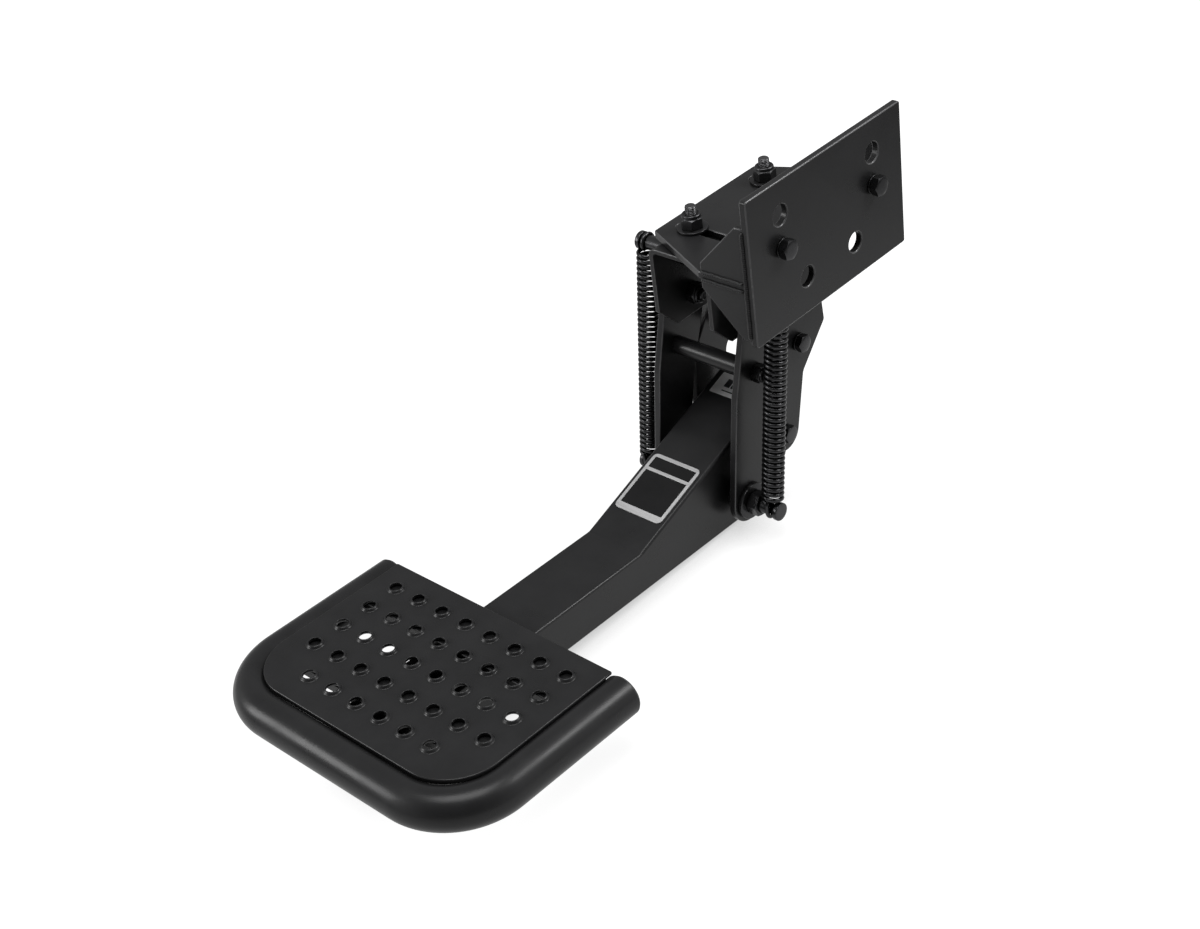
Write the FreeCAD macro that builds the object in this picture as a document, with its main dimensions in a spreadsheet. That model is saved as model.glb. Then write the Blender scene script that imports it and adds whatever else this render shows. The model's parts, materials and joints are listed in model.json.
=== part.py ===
import FreeCAD, Part
import math
import os

# Retractable rear step: a pad on a parallel four-bar linkage under a bracket that bolts to a chassis rail.
# Millimetres. X is across the vehicle, -Y points away from the vehicle to the pad, Z is up.
# The origin lies on the mount plate's outer face, halfway between its two upper free holes.

V = FreeCAD.Vector
ALONG_X = FreeCAD.Rotation(V(0, 1, 0), 90)
RUN = "Sizes.running_clearance"

SIZES = {
    # mount plate
    "plate_width": 250, "plate_height": 160, "plate_rise": 36, "plate_thickness": 8,
    "plate_corner_radius": 3,
    "free_hole_diameter": 22, "upper_hole_spacing": 150,
    "lower_hole_spacing": 80, "lower_hole_drop": 84.5,
    "chassis_bolt_spacing": 150, "chassis_bolt_drop": 35, "chassis_bolt_diameter": 14,
    "chassis_bolt_flats": 22, "chassis_head_height": 9, "chassis_nut_height": 11,
    "chassis_washer_thickness": 3, "chassis_washer_diameter": 25, "chassis_bolt_tail": 6,
    # shelf and gussets
    "shelf_drop": 55, "shelf_thickness": 8, "shelf_reach": 154, "shelf_narrow_width": 165,
    "shelf_square_reach": 60, "shelf_corner_radius": 4,
    "slot_width": 13, "slot_length": 84, "slot_reach": 57,
    "gusset_thickness": 6, "gusset_reach": 57, "gusset_nose": 10, "upper_gusset_rise": 6,
    "lower_gusset_drop": 119, "gusset_land": 9, "gusset_corner_radius": 2,
    "weld_radius": 2.5, "weld_inset": 3,
    # hanger channel
    "step_offset": 115, "channel_width": 78, "channel_sheet": 5, "channel_depth": 102,
    "channel_bend_radius": 9,
    "channel_front": 103, "channel_length": 185, "channel_chamfer": 27,
    "hanger_bolt_spacing": 120, "hanger_bolt_shift": 14, "hanger_bolt_tail": 8,
    "hanger_washer_diameter": 32, "hanger_washer_thickness": 3,
    # pivots, in the YZ plane
    "front_pivot_back": 50, "front_pivot_drop": 139, "link_lean": 44, "link_drop": 210,
    "pivot_spread": 70, "pivot_step": 46, "spring_pivot_back": 55, "spring_pivot_drop": 91,
    # links
    "link_width": 50, "link_thickness": 8, "link_gap": 98, "front_knee_back": 20, "front_knee_rise": 126,
    "rear_low_knee_back": 9, "rear_low_knee_rise": 67, "rear_high_knee_back": 51, "rear_high_knee_rise": 123,
    "knee_radius": 18,
    "spacer_diameter": 20, "front_spacer_back": 29, "front_spacer_rise": 147,
    "rear_spacer_back": 31, "rear_spacer_rise": 99.5,
    # twelve millimetre fasteners, axle and clearances
    "bolt_diameter": 12, "bolt_flats": 18, "bolt_head_height": 8, "nut_flats": 21, "nut_height": 10.5,
    "nut_collar_height": 3.5, "nut_collar_diameter": 20, "bush_diameter": 22, "bolt_tail": 3,
    "spring_washer_diameter": 20, "spring_washer_thickness": 3,
    "running_clearance": 0.05, "side_clearance": 0.2, "hole_clearance": 0.2,
    "axle_diameter": 16, "axle_flats": 24, "axle_nut_height": 13,
    "axle_washer_diameter": 41, "axle_washer_thickness": 5, "axle_bush_diameter": 28,
    "groove_diameter": 12.5, "groove_width": 5, "pin_end_thickness": 5, "pin_end_diameter": 18,
    # springs
    "spring_centre": 90, "spring_diameter": 25, "spring_wire": 3.8, "spring_pitch": 5.92, "hook_reach": 14,
    "hook_clearance": 0.1, "hook_sweep": 235, "hook_steps": 7, "turn_steps": 7, "wire_sides": 4,
    # arm, in its own frame at the lower front pivot
    "pad_tilt": 2.2, "arm_width": 75, "arm_sheet": 4, "arm_bottom": 36.2, "arm_top": 12.1,
    "arm_slope": 20.5, "arm_bend_forward": 153.5, "arm_rear": 91, "arm_heel_drop": 6,
    "arm_heel_forward": 25, "arm_edge_radius": 3, "arm_bend_radius": 14,
    "arm_heel_radius": 12, "arm_toe_radius": 6, "arm_tail_radius": 8,
    # pad
    "pad_width": 301, "pad_length": 208.5, "pad_sheet": 2, "pad_rear_forward": 322, "pad_top": 25,
    "pad_corner_radius": 56, "pad_rear_corner": 1.5, "lip_depth": 4, "lip_rear_gap": 9.5,
    "tube_diameter": 42.4, "tube_wall": 2.6, "tube_side_overhang": 10.8, "tube_front_overhang": 13.1,
    "tube_drop": 22.3, "tube_bend_radius": 67.5,
    "pad_columns": 8, "pad_rows": 5, "column_pitch": 34, "row_pitch": 36, "row_inset": 30.5,
    "grip_base_diameter": 19.5, "grip_hole_diameter": 12.5, "grip_height": 2.8, "grip_taper": 30,
    "bar_width": 60, "rear_bar_inset": 34, "front_bar_inset": 70.5, "rear_bar_gap": 19,
    "front_bar_gap": 21.2,
    "cap_length": 16, "cap_rim": 2,
    # load plate and sticker on the sloping top
    "load_plate_width": 64, "load_plate_length": 77, "load_plate_thickness": 1, "load_plate_rise": 38.5,
    "load_plate_corner": 6, "load_plate_border": 4, "load_field_depth": 0.4, "load_field_split": 20,
    "load_field_bar": 3,
    "sticker_width": 50, "sticker_length": 29, "sticker_thickness": 0.3, "sticker_rise": 211,
    "sticker_shift": 4, "sticker_corner_radius": 1.5,
}

doc = FreeCAD.newDocument("retractable_rear_step")
sheet = doc.addObject("Spreadsheet::Sheet", "Sizes")
for row, (alias, number) in enumerate(SIZES.items(), start=1):
    sheet.set(f"A{row}", alias)
    sheet.set(f"B{row}", str(number))
    sheet.setAlias(f"B{row}", alias)
doc.recompute()

nodes = []


def size(alias):
    """A driving dimension, read from the sheet."""
    return float(sheet.get(alias))


def bind(feature, **expressions):
    """Bind properties to the sheet; x, y and z stand for the place."""
    for name, expression in expressions.items():
        target = f"Placement.Base.{name}" if name in ("x", "y", "z") else name
        feature.setExpression(target, str(expression))
    return feature


def node(feature, name):
    """Name a finished sub-part."""
    feature.Label = name
    nodes.append(feature)
    return feature


# Places that several pieces share, as expressions over the sheet

SHELF_TOP = "-Sizes.shelf_drop"
SHELF_UNDER = "-Sizes.shelf_drop - Sizes.shelf_thickness"
CHANNEL_OUTER = "Sizes.channel_width / 2"
CHANNEL_INNER = "(Sizes.channel_width / 2 - Sizes.channel_sheet)"
LINK_INNER = "Sizes.link_gap / 2"
LINK_OUTER = "(Sizes.link_gap / 2 + Sizes.link_thickness)"
ARM_OUTER = "Sizes.arm_width / 2"
ARM_INNER = "(Sizes.arm_width / 2 - Sizes.arm_sheet)"
FRONT_UPPER = ("-Sizes.front_pivot_back", "-Sizes.front_pivot_drop")
REAR_UPPER = ("-Sizes.front_pivot_back + Sizes.pivot_spread", "-Sizes.front_pivot_drop + Sizes.pivot_step")
FRONT_LOWER = ("-Sizes.front_pivot_back - Sizes.link_lean", "-Sizes.front_pivot_drop - Sizes.link_drop")
REAR_LOWER = (FRONT_LOWER[0] + " + Sizes.pivot_spread", FRONT_LOWER[1] + " + Sizes.pivot_step")
SPRING_UPPER = ("-Sizes.spring_pivot_back", "-Sizes.spring_pivot_drop")
FRONT_SPACER = (FRONT_LOWER[0] + " + Sizes.front_spacer_back", FRONT_LOWER[1] + " + Sizes.front_spacer_rise")
REAR_SPACER = (REAR_LOWER[0] + " + Sizes.rear_spacer_back", REAR_LOWER[1] + " + Sizes.rear_spacer_rise")

# The same places as numbers, for outlines

front_upper = V(0, -size("front_pivot_back"), -size("front_pivot_drop"))
link_vector = V(0, -size("link_lean"), -size("link_drop"))
spread_vector = V(0, size("pivot_spread"), size("pivot_step"))
front_lower = front_upper + link_vector
rear_upper = front_upper + spread_vector
rear_lower = front_lower + spread_vector
spring_upper = V(0, -size("spring_pivot_back"), -size("spring_pivot_drop"))
arm_tilt = FreeCAD.Rotation(V(1, 0, 0), -size("pad_tilt"))
arm_rear_pivot = arm_tilt.inverted().multVec(spread_vector)


# Builders for rods, rings, hexagons and outlines

def rod(name, diameter, start, length, y, z, angle=360):
    """A cylinder along X."""
    feature = doc.addObject("Part::Cylinder", name)
    feature.Placement.Rotation = ALONG_X
    feature.Angle = angle
    return bind(feature, Radius=f"({diameter}) / 2", Height=length, x=start, y=y, z=z)


def hexagon(name, flats, start, length, y, z):
    """A hexagonal prism along X, measured across its flats."""
    feature = doc.addObject("Part::Prism", name)
    feature.Polygon = 6
    feature.Placement.Rotation = ALONG_X
    return bind(feature, Circumradius=f"({flats}) / sqrt(3)", Height=length, x=start, y=y, z=z)


def fuse(name, parts):
    feature = doc.addObject("Part::MultiFuse", name)
    feature.Shapes = parts
    return feature


def cut(name, base, tool):
    feature = doc.addObject("Part::Cut", name)
    feature.Base = base
    feature.Tool = tool
    return feature


def group(name, parts):
    feature = doc.addObject("Part::Compound", name)
    feature.Links = parts
    return feature


def span(side, near, far):
    """Start and length along X of a piece between two distances from the step's centre plane."""
    start = f"{near} - Sizes.step_offset" if side > 0 else f"-({far}) - Sizes.step_offset"
    return start, f"({far}) - ({near})"


def side_rod(name, side, diameter, near, far, place):
    start, length = span(side, near, far)
    return rod(name, diameter, start, length, *place)


def side_ring(name, side, outer, inner, near, far, place):
    start, length = span(side, near, far)
    solid = rod(name + "_outer", outer, start, length, *place)
    return cut(name, solid, rod(name + "_bore", inner, start, length, *place))


def side_hexagon(name, side, flats, near, far, place):
    start, length = span(side, near, far)
    return hexagon(name, flats, start, length, *place)


def lock_nut(name, side, near, place, outward):
    """A lock nut with a round collar, which points outward from its seat or inward."""
    height = "Sizes.nut_height"
    collar = "Sizes.nut_collar_height"
    bore = f"Sizes.bolt_diameter + 2 * {RUN}"
    if outward:
        faces = (near, f"{near} + {height}", f"{near} + {height}", f"{near} + {height} + {collar}")
        whole = (near, faces[3])
    else:
        faces = (f"{near} - {height}", near, f"{near} - {height} - {collar}", f"{near} - {height}")
        whole = (faces[2], near)
    body = side_hexagon(name + "_hex", side, "Sizes.nut_flats", faces[0], faces[1], place)
    ring = side_rod(name + "_collar", side, "Sizes.nut_collar_diameter", faces[2], faces[3], place)
    tool = side_rod(name + "_bore", side, bore, whole[0], whole[1], place)
    return cut(name, fuse(name + "_blank", [body, ring]), tool)


def hex_bolt(name, side, tail, seat, place):
    """A bolt whose head sits outside the seat and whose shank runs inward to the tail."""
    top = f"{seat} + Sizes.bolt_head_height"
    head = side_hexagon(name + "_head", side, "Sizes.bolt_flats", seat, top, place)
    shank = side_rod(name + "_shank", side, "Sizes.bolt_diameter", tail, seat, place)
    return fuse(name, [head, shank])


def rounded(corners):
    """Lines and arcs through corners given as (u, v, radius)."""
    curves = []
    count = len(corners)
    ends = []
    for i, (u, v, radius) in enumerate(corners):
        here = V(u, v, 0)
        before = V(*corners[i - 1][:2], 0)
        after = V(*corners[(i + 1) % count][:2], 0)
        back = (before - here).normalize()
        ahead = (after - here).normalize()
        if radius <= 0:
            ends.append((here, here))
            continue
        half = back.getAngle(ahead) / 2
        reach = radius / math.tan(half)
        middle = here + (back + ahead).normalize() * (radius / math.sin(half) - radius)
        first = here + back * reach
        last = here + ahead * reach
        curves.append(Part.Arc(first, middle, last))
        ends.append((first, last))
    for i in range(count):
        start = ends[i][1]
        finish = ends[(i + 1) % count][0]
        if start.distanceToPoint(finish) > 1e-6:
            curves.append(Part.LineSegment(start, finish))
    return curves


def link_outline(pivots, width, knee_radius):
    """A strap of constant width round a broken line of (y, z) pivots and knees, with round ends."""
    half = width / 2
    points = [V(y, z, 0) for y, z in pivots]
    runs = [(b - a).normalize() for a, b in zip(points, points[1:])]
    normals = [V(-run.y, run.x, 0) for run in runs]
    sides = []
    for sign in (1, -1):
        edge = [(points[0] + normals[0] * (sign * half), 0)]
        for i in range(1, len(points) - 1):
            mean = (normals[i - 1] + normals[i]).normalize()
            stretch = half / mean.dot(normals[i])
            turn = runs[i - 1].x * runs[i].y - runs[i - 1].y * runs[i].x
            radius = knee_radius + (half if turn * sign < 0 else 0)
            edge.append((points[i] + mean * (sign * stretch), radius))
        edge.append((points[-1] + normals[-1] * (sign * half), 0))
        sides.append(edge)
    curves = []
    for edge in sides:
        last = edge[0][0]
        for i in range(1, len(edge) - 1):
            here, radius = edge[i]
            back = (edge[i - 1][0] - here).normalize()
            ahead = (edge[i + 1][0] - here).normalize()
            angle = back.getAngle(ahead) / 2
            first = here + back * (radius / math.tan(angle))
            middle = here + (back + ahead).normalize() * (radius / math.sin(angle) - radius)
            after = here + ahead * (radius / math.tan(angle))
            curves.append(Part.LineSegment(last, first))
            curves.append(Part.Arc(first, middle, after))
            last = after
        curves.append(Part.LineSegment(last, edge[-1][0]))
    curves.append(Part.Arc(sides[0][0][0], points[0] - runs[0] * half, sides[1][0][0]))
    curves.append(Part.Arc(sides[0][-1][0], points[-1] + runs[-1] * half, sides[1][-1][0]))
    return curves


def circle(u, v, diameter):
    return Part.Circle(V(u, v, 0), V(0, 0, 1), diameter / 2)


def slot(u, v, length, width):
    """A slot along u about its centre."""
    half = (length - width) / 2
    ends = [V(u - half, v - width / 2, 0), V(u + half, v - width / 2, 0),
            V(u + half, v + width / 2, 0), V(u - half, v + width / 2, 0)]
    return [
        Part.LineSegment(ends[0], ends[1]),
        Part.Arc(ends[1], V(u + length / 2, v, 0), ends[2]),
        Part.LineSegment(ends[2], ends[3]),
        Part.Arc(ends[3], V(u - length / 2, v, 0), ends[0]),
    ]


def new_body(name):
    return doc.addObject("PartDesign::Body", name)


def sketch_on(body, name, role, curves, offset="0"):
    """A sketch on one of the body's own origin planes, moved along the plane's normal."""
    sketch = body.newObject("Sketcher::SketchObject", name)
    plane = [item for item in body.Origin.OriginFeatures if item.Role == role][0]
    sketch.AttachmentSupport = (plane, [""])
    sketch.MapMode = "FlatFace"
    sketch.addGeometry(curves, False)
    sketch.setExpression("AttachmentOffset.Base.z", offset)
    return sketch


def pad(body, name, sketch, length, reverse=False, taper=None):
    feature = body.newObject("PartDesign::Pad", name)
    feature.Profile = sketch
    feature.Reversed = reverse
    feature.setExpression("Length", length)
    if taper:
        feature.setExpression("TaperAngle", taper)
    return feature


def pocket(body, name, sketch, length, reverse=False):
    """Cuts along the sketch's normal, or against it when reversed, and proves that it cut."""
    doc.recompute()
    before = body.Shape.Volume
    feature = body.newObject("PartDesign::Pocket", name)
    feature.Profile = sketch
    feature.Reversed = not reverse
    feature.setExpression("Length", length)
    doc.recompute()
    if body.Shape.Volume > before - 1e-3:
        raise RuntimeError(name + " cuts nothing")
    return feature


def plate_body(name, role, curves, thickness, offset="0"):
    body = new_body(name)
    pad(body, name + "_sheet", sketch_on(body, name + "_outline", role, curves, offset), thickness)
    return body


def on_arm(feature):
    """Place a finished piece that is drawn in the arm's frame."""
    bind(feature, y=FRONT_LOWER[0], z=FRONT_LOWER[1])
    feature.Placement.Rotation = arm_tilt
    return feature


# Bracket

def mount_plate():
    half_width = size("plate_width") / 2
    top = size("plate_rise")
    bottom = top - size("plate_height")
    corner = size("plate_corner_radius")
    outline = rounded([(-half_width, bottom, corner), (half_width, bottom, corner),
                       (half_width, top, corner), (-half_width, top, corner)])
    body = plate_body("mount_plate", "YZ_Plane", outline, "Sizes.plate_thickness", "-Sizes.plate_thickness")
    holes = []
    for side in (-1, 1):
        free = size("free_hole_diameter")
        holes.append(circle(side * size("upper_hole_spacing") / 2, 0, free))
        holes.append(circle(side * size("lower_hole_spacing") / 2, -size("lower_hole_drop"), free))
        fitted = size("chassis_bolt_diameter") + 2 * size("hole_clearance")
        holes.append(circle(side * size("chassis_bolt_spacing") / 2, -size("chassis_bolt_drop"), fitted))
    sketch = sketch_on(body, "mount_plate_holes", "YZ_Plane", holes, "-Sizes.plate_thickness")
    pocket(body, "mount_plate_hole_cut", sketch, "Sizes.plate_thickness")
    return node(body, "mount_plate")


def shelf_plate():
    back = -size("plate_thickness")
    wide = size("plate_width") / 2
    narrow = size("shelf_narrow_width") / 2
    square = back - size("shelf_square_reach")
    far = back - size("shelf_reach")
    corner = size("shelf_corner_radius")
    outline = rounded([(back, -wide, 0), (back, wide, 0), (square, wide, corner), (far, narrow, corner),
                       (far, -narrow, corner), (square, -wide, corner)])
    body = plate_body("shelf_plate", "XY_Plane", outline, "Sizes.shelf_thickness", SHELF_UNDER)
    length = size("slot_length")
    centre = back - size("slot_reach") - length / 2
    slots = []
    for side in (-1, 1):
        slots += slot(centre, side * size("hanger_bolt_spacing") / 2, length, size("slot_width"))
    sketch = sketch_on(body, "shelf_slots", "XY_Plane", slots, SHELF_UNDER)
    pocket(body, "shelf_slot_cut", sketch, "Sizes.shelf_thickness")
    return node(body, "shelf_plate")


def gusset(name, level, outline_points, place):
    """One triangular gusset in the XZ plane; the plane's normal is -Y."""
    outline = rounded([(x, level + rise, radius) for x, rise, radius in outline_points])
    return plate_body(name, "XZ_Plane", outline, "Sizes.gusset_thickness", place)


def gussets():
    back = -size("plate_thickness")
    reach = back - size("gusset_reach")
    nose = size("gusset_nose")
    land = back - size("gusset_land")
    near = "Sizes.plate_width / 2 - Sizes.gusset_thickness"
    far = "-Sizes.plate_width / 2"
    top = -size("shelf_drop")
    under = top - size("shelf_thickness")
    rise = size("upper_gusset_rise") + size("shelf_drop")
    drop = size("lower_gusset_drop") + under
    corner = size("gusset_corner_radius")
    upper = [(back, 0, 0), (reach, 0, 0), (reach, nose, corner), (land, rise, corner), (back, rise, 0)]
    lower = [(back, 0, 0), (reach, 0, 0), (reach, -nose, corner), (land, -drop, corner), (back, -drop, 0)]
    pieces = {}
    for label, level, points in (("upper", top, upper), ("lower", under, lower)):
        pair = [gusset(f"{label}_gusset_{end}", level, points, place)
                for end, place in (("near", near), ("far", far))]
        pieces[label] = node(group(f"{label}_gussets", pair), f"{label}_gussets")
    return pieces


def weld_beads():
    """Half-round beads on the outer faces, where gussets meet the shelf and the plate."""
    beads = []
    along = "Sizes.gusset_reach - Sizes.weld_inset - Sizes.weld_radius"
    start = "-Sizes.plate_thickness - Sizes.gusset_reach"
    radius = "Sizes.weld_radius"
    for end in (-1, 1):
        face = f"{end} * Sizes.plate_width / 2"
        for seam, level in (("top", SHELF_TOP), ("under", SHELF_UNDER)):
            name = f"bead_{seam}_{'far' if end > 0 else 'near'}"
            bead = rod(name, f"2 * {radius}", start, along, face, level, 180)
            bead.Placement.Rotation = bead_turn(end)
            beads.append(bead)
        post = doc.addObject("Part::Cylinder", f"bead_post_{'far' if end > 0 else 'near'}")
        post.Angle = 180
        post.Placement.Rotation = FreeCAD.Rotation(V(0, 0, 1), 0 if end > 0 else 180)
        bind(post, Radius=radius,
             Height="Sizes.upper_gusset_rise + Sizes.lower_gusset_drop - 2 * Sizes.weld_inset",
             x="-Sizes.plate_thickness", y=face, z="Sizes.weld_inset - Sizes.lower_gusset_drop")
        beads.append(post)
    return node(group("weld_beads", beads), "weld_beads")


def bead_turn(end):
    """Turns a half cylinder along X, with its flat side on the face that looks to the given end of Y."""
    flat = FreeCAD.Rotation(V(1, 0, 0), 0 if end > 0 else 180)
    return flat * ALONG_X


def chassis_fasteners():
    bolts = []
    washers = []
    nuts = []
    back = "Sizes.plate_thickness"
    bore = f"Sizes.chassis_bolt_diameter + 2 * {RUN}"
    for side in (-1, 1):
        tag = "near" if side < 0 else "far"
        place = (f"{side} * Sizes.chassis_bolt_spacing / 2", "-Sizes.chassis_bolt_drop")
        washer = cut(f"chassis_washer_{tag}",
                     rod(f"chassis_washer_disc_{tag}", "Sizes.chassis_washer_diameter", "0",
                         "Sizes.chassis_washer_thickness", *place),
                     rod(f"chassis_washer_bore_{tag}", bore, "0", "Sizes.chassis_washer_thickness", *place))
        washers.append(washer)
        tail = f"{back} + Sizes.chassis_nut_height + Sizes.chassis_bolt_tail"
        head = hexagon(f"chassis_head_{tag}", "Sizes.chassis_bolt_flats", "Sizes.chassis_washer_thickness",
                       "Sizes.chassis_head_height", *place)
        shank = rod(f"chassis_shank_{tag}", "Sizes.chassis_bolt_diameter", f"-({tail})",
                    f"{tail} + Sizes.chassis_washer_thickness", *place)
        bolts.append(fuse(f"chassis_bolt_{tag}", [head, shank]))
        seat = f"-({back} + Sizes.chassis_nut_height)"
        height = "Sizes.chassis_nut_height"
        nuts.append(cut(f"chassis_nut_{tag}",
                        hexagon(f"chassis_nut_hex_{tag}", "Sizes.chassis_bolt_flats", seat, height, *place),
                        rod(f"chassis_nut_bore_{tag}", bore, seat, height, *place)))
    node(group("chassis_bolts", bolts), "chassis_bolts")
    node(group("chassis_washers", washers), "chassis_washers")
    node(group("chassis_nuts", nuts), "chassis_nuts")


def hanger_channel():
    """A folded channel, open downwards, with a corner cut off each end of its sides."""
    outer = size("channel_width") / 2
    sheet_thickness = size("channel_sheet")
    top = -size("shelf_drop") - size("shelf_thickness")
    bottom = top - size("channel_depth")
    bend = size("channel_bend_radius")
    centre = -size("step_offset")
    inner = outer - sheet_thickness
    section = rounded([
        (centre - outer, bottom, 0), (centre - outer, top, bend),
        (centre + outer, top, bend), (centre + outer, bottom, 0),
        (centre + inner, bottom, 0), (centre + inner, top - sheet_thickness, bend - sheet_thickness),
        (centre - inner, top - sheet_thickness, bend - sheet_thickness), (centre - inner, bottom, 0)])
    body = new_body("hanger_channel")
    start = "Sizes.channel_front - Sizes.channel_length"
    profile = sketch_on(body, "channel_section", "XZ_Plane", section, start)
    pad(body, "channel_fold", profile, "Sizes.channel_length")
    front = -size("channel_front")
    rear = front + size("channel_length")
    chamfer = size("channel_chamfer")
    corners = []
    for edge, inward in ((front, 1), (rear, -1)):
        reach = chamfer + sheet_thickness
        corners += rounded([(edge - inward * sheet_thickness, bottom - sheet_thickness, 0),
                            (edge + inward * reach, bottom - sheet_thickness, 0),
                            (edge - inward * sheet_thickness, bottom + reach, 0)])
    beside = "-Sizes.step_offset - Sizes.channel_width"
    trim = sketch_on(body, "channel_corners", "YZ_Plane", corners, beside)
    pocket(body, "channel_corner_cut", trim, "2 * Sizes.channel_width")
    bolt = size("bolt_diameter") + 2 * size("hole_clearance")
    pivots = [circle(place.y, place.z, bolt) for place in (front_upper, rear_upper, spring_upper)]
    bores = sketch_on(body, "channel_pivot_holes", "YZ_Plane", pivots, beside)
    pocket(body, "channel_pivot_cut", bores, "2 * Sizes.channel_width")
    across = centre - size("hanger_bolt_shift")
    holes = [circle(across, side * size("hanger_bolt_spacing") / 2, bolt) for side in (-1, 1)]
    web = sketch_on(body, "channel_web_holes", "XY_Plane", holes, f"{SHELF_UNDER} - Sizes.channel_sheet")
    pocket(body, "channel_web_cut", web, "Sizes.channel_sheet")
    return node(body, "hanger_channel")


def upright(feature, y, z):
    """Place a piece that stands along Z on the hanger bolts' line."""
    return bind(feature, x="-Sizes.step_offset - Sizes.hanger_bolt_shift", y=y, z=z)


def hanger_fasteners():
    bolts = []
    washers = []
    nuts = []
    web_under = f"{SHELF_UNDER} - Sizes.channel_sheet"
    nut_seat = f"{SHELF_TOP} + Sizes.hanger_washer_thickness"
    nut_whole = "Sizes.nut_height + Sizes.nut_collar_height"
    grip = "Sizes.channel_sheet + Sizes.shelf_thickness + Sizes.hanger_washer_thickness"
    for side in (-1, 1):
        tag = "near" if side < 0 else "far"
        y = f"{side} * Sizes.hanger_bolt_spacing / 2"
        head = doc.addObject("Part::Prism", f"hanger_head_{tag}")
        head.Polygon = 6
        bind(head, Circumradius="Sizes.bolt_flats / sqrt(3)", Height="Sizes.bolt_head_height")
        upright(head, y, f"{web_under} - Sizes.bolt_head_height")
        shank = doc.addObject("Part::Cylinder", f"hanger_shank_{tag}")
        bind(shank, Radius="Sizes.bolt_diameter / 2", Height=f"{grip} + {nut_whole} + Sizes.hanger_bolt_tail")
        upright(shank, y, web_under)
        bolts.append(fuse(f"hanger_bolt_{tag}", [head, shank]))
        disc = doc.addObject("Part::Cylinder", f"hanger_disc_{tag}")
        bind(disc, Radius="Sizes.hanger_washer_diameter / 2", Height="Sizes.hanger_washer_thickness")
        bore = doc.addObject("Part::Cylinder", f"hanger_bore_{tag}")
        bind(bore, Radius=f"Sizes.bolt_diameter / 2 + {RUN}", Height=f"{grip} + {nut_whole}")
        upright(disc, y, SHELF_TOP)
        washers.append(cut(f"hanger_washer_{tag}", disc, upright(bore, y, SHELF_UNDER)))
        hexes = doc.addObject("Part::Prism", f"hanger_nut_hex_{tag}")
        hexes.Polygon = 6
        bind(hexes, Circumradius="Sizes.nut_flats / sqrt(3)", Height="Sizes.nut_height")
        collar = doc.addObject("Part::Cylinder", f"hanger_nut_collar_{tag}")
        bind(collar, Radius="Sizes.nut_collar_diameter / 2", Height=nut_whole)
        forms = [upright(hexes, y, nut_seat), upright(collar, y, nut_seat)]
        blank = fuse(f"hanger_nut_blank_{tag}", forms)
        nut_bore = doc.addObject("Part::Cylinder", f"hanger_nut_bore_{tag}")
        bind(nut_bore, Radius=f"Sizes.bolt_diameter / 2 + {RUN}", Height=f"2 * ({nut_whole})")
        upright(nut_bore, y, f"{nut_seat} - Sizes.nut_height / 2")
        nuts.append(cut(f"hanger_nut_{tag}", blank, nut_bore))
    node(group("hanger_bolts", bolts), "hanger_bolts")
    node(group("hanger_washers", washers), "hanger_washers")
    node(group("hanger_nuts", nuts), "hanger_nuts")


def grooved_end(name, side, start, place):
    """A grooved rod end that carries a spring hook, from a start distance out to its end disc."""
    groove_in = "Sizes.spring_centre - Sizes.groove_width / 2"
    groove_out = "Sizes.spring_centre + Sizes.groove_width / 2"
    disc_out = f"{groove_out} + Sizes.pin_end_thickness"
    shank = side_rod(name + "_shank", side, "Sizes.axle_diameter", start, groove_in, place)
    neck = side_rod(name + "_neck", side, "Sizes.groove_diameter", groove_in, groove_out, place)
    disc = side_rod(name + "_disc", side, "Sizes.pin_end_diameter", groove_out, disc_out, place)
    return [shank, neck, disc]


def upper_pins():
    """Two shouldered pins in the channel's sides, each held by a nut inside the channel."""
    pins = []
    nuts = []
    for side in (-1, 1):
        tag = "left" if side < 0 else "right"
        stud = side_rod(f"pin_stud_{tag}", side, "Sizes.bolt_diameter",
                        f"{CHANNEL_INNER} - Sizes.nut_height - Sizes.nut_collar_height - Sizes.bolt_tail",
                        CHANNEL_OUTER, SPRING_UPPER)
        ends = grooved_end(f"pin_{tag}", side, CHANNEL_OUTER, SPRING_UPPER)
        pins.append(fuse(f"spring_pin_{tag}", [stud] + ends))
        nuts.append(lock_nut(f"spring_pin_nut_{tag}", side, CHANNEL_INNER, SPRING_UPPER, False))
    node(group("upper_spring_pins", pins), "upper_spring_pins")
    node(group("spring_pin_nuts", nuts), "spring_pin_nuts")


def upper_pivots(label, place):
    """Bolt, bush and nut on each side of the channel; the link turns on the bolt."""
    bolts = []
    bushes = []
    nuts = []
    for side in (-1, 1):
        tag = f"{label}_{'left' if side < 0 else 'right'}"
        tail = f"{CHANNEL_INNER} - Sizes.nut_height - Sizes.nut_collar_height - Sizes.bolt_tail"
        bolts.append(hex_bolt(f"pivot_bolt_{tag}", side, tail, f"{LINK_OUTER} + Sizes.side_clearance", place))
        bushes.append(side_ring(f"pivot_bush_{tag}", side, "Sizes.bush_diameter",
                                f"Sizes.bolt_diameter + 2 * {RUN}",
                                CHANNEL_OUTER, f"{LINK_INNER} - Sizes.side_clearance", place))
        nuts.append(lock_nut(f"pivot_nut_{tag}", side, CHANNEL_INNER, place, False))
    node(group(f"{label}_pivot_bolts", bolts), f"{label}_pivot_bolts")
    node(group(f"{label}_pivot_bushes", bushes), f"{label}_pivot_bushes")
    node(group(f"{label}_pivot_nuts", nuts), f"{label}_pivot_nuts")


# Links

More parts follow.
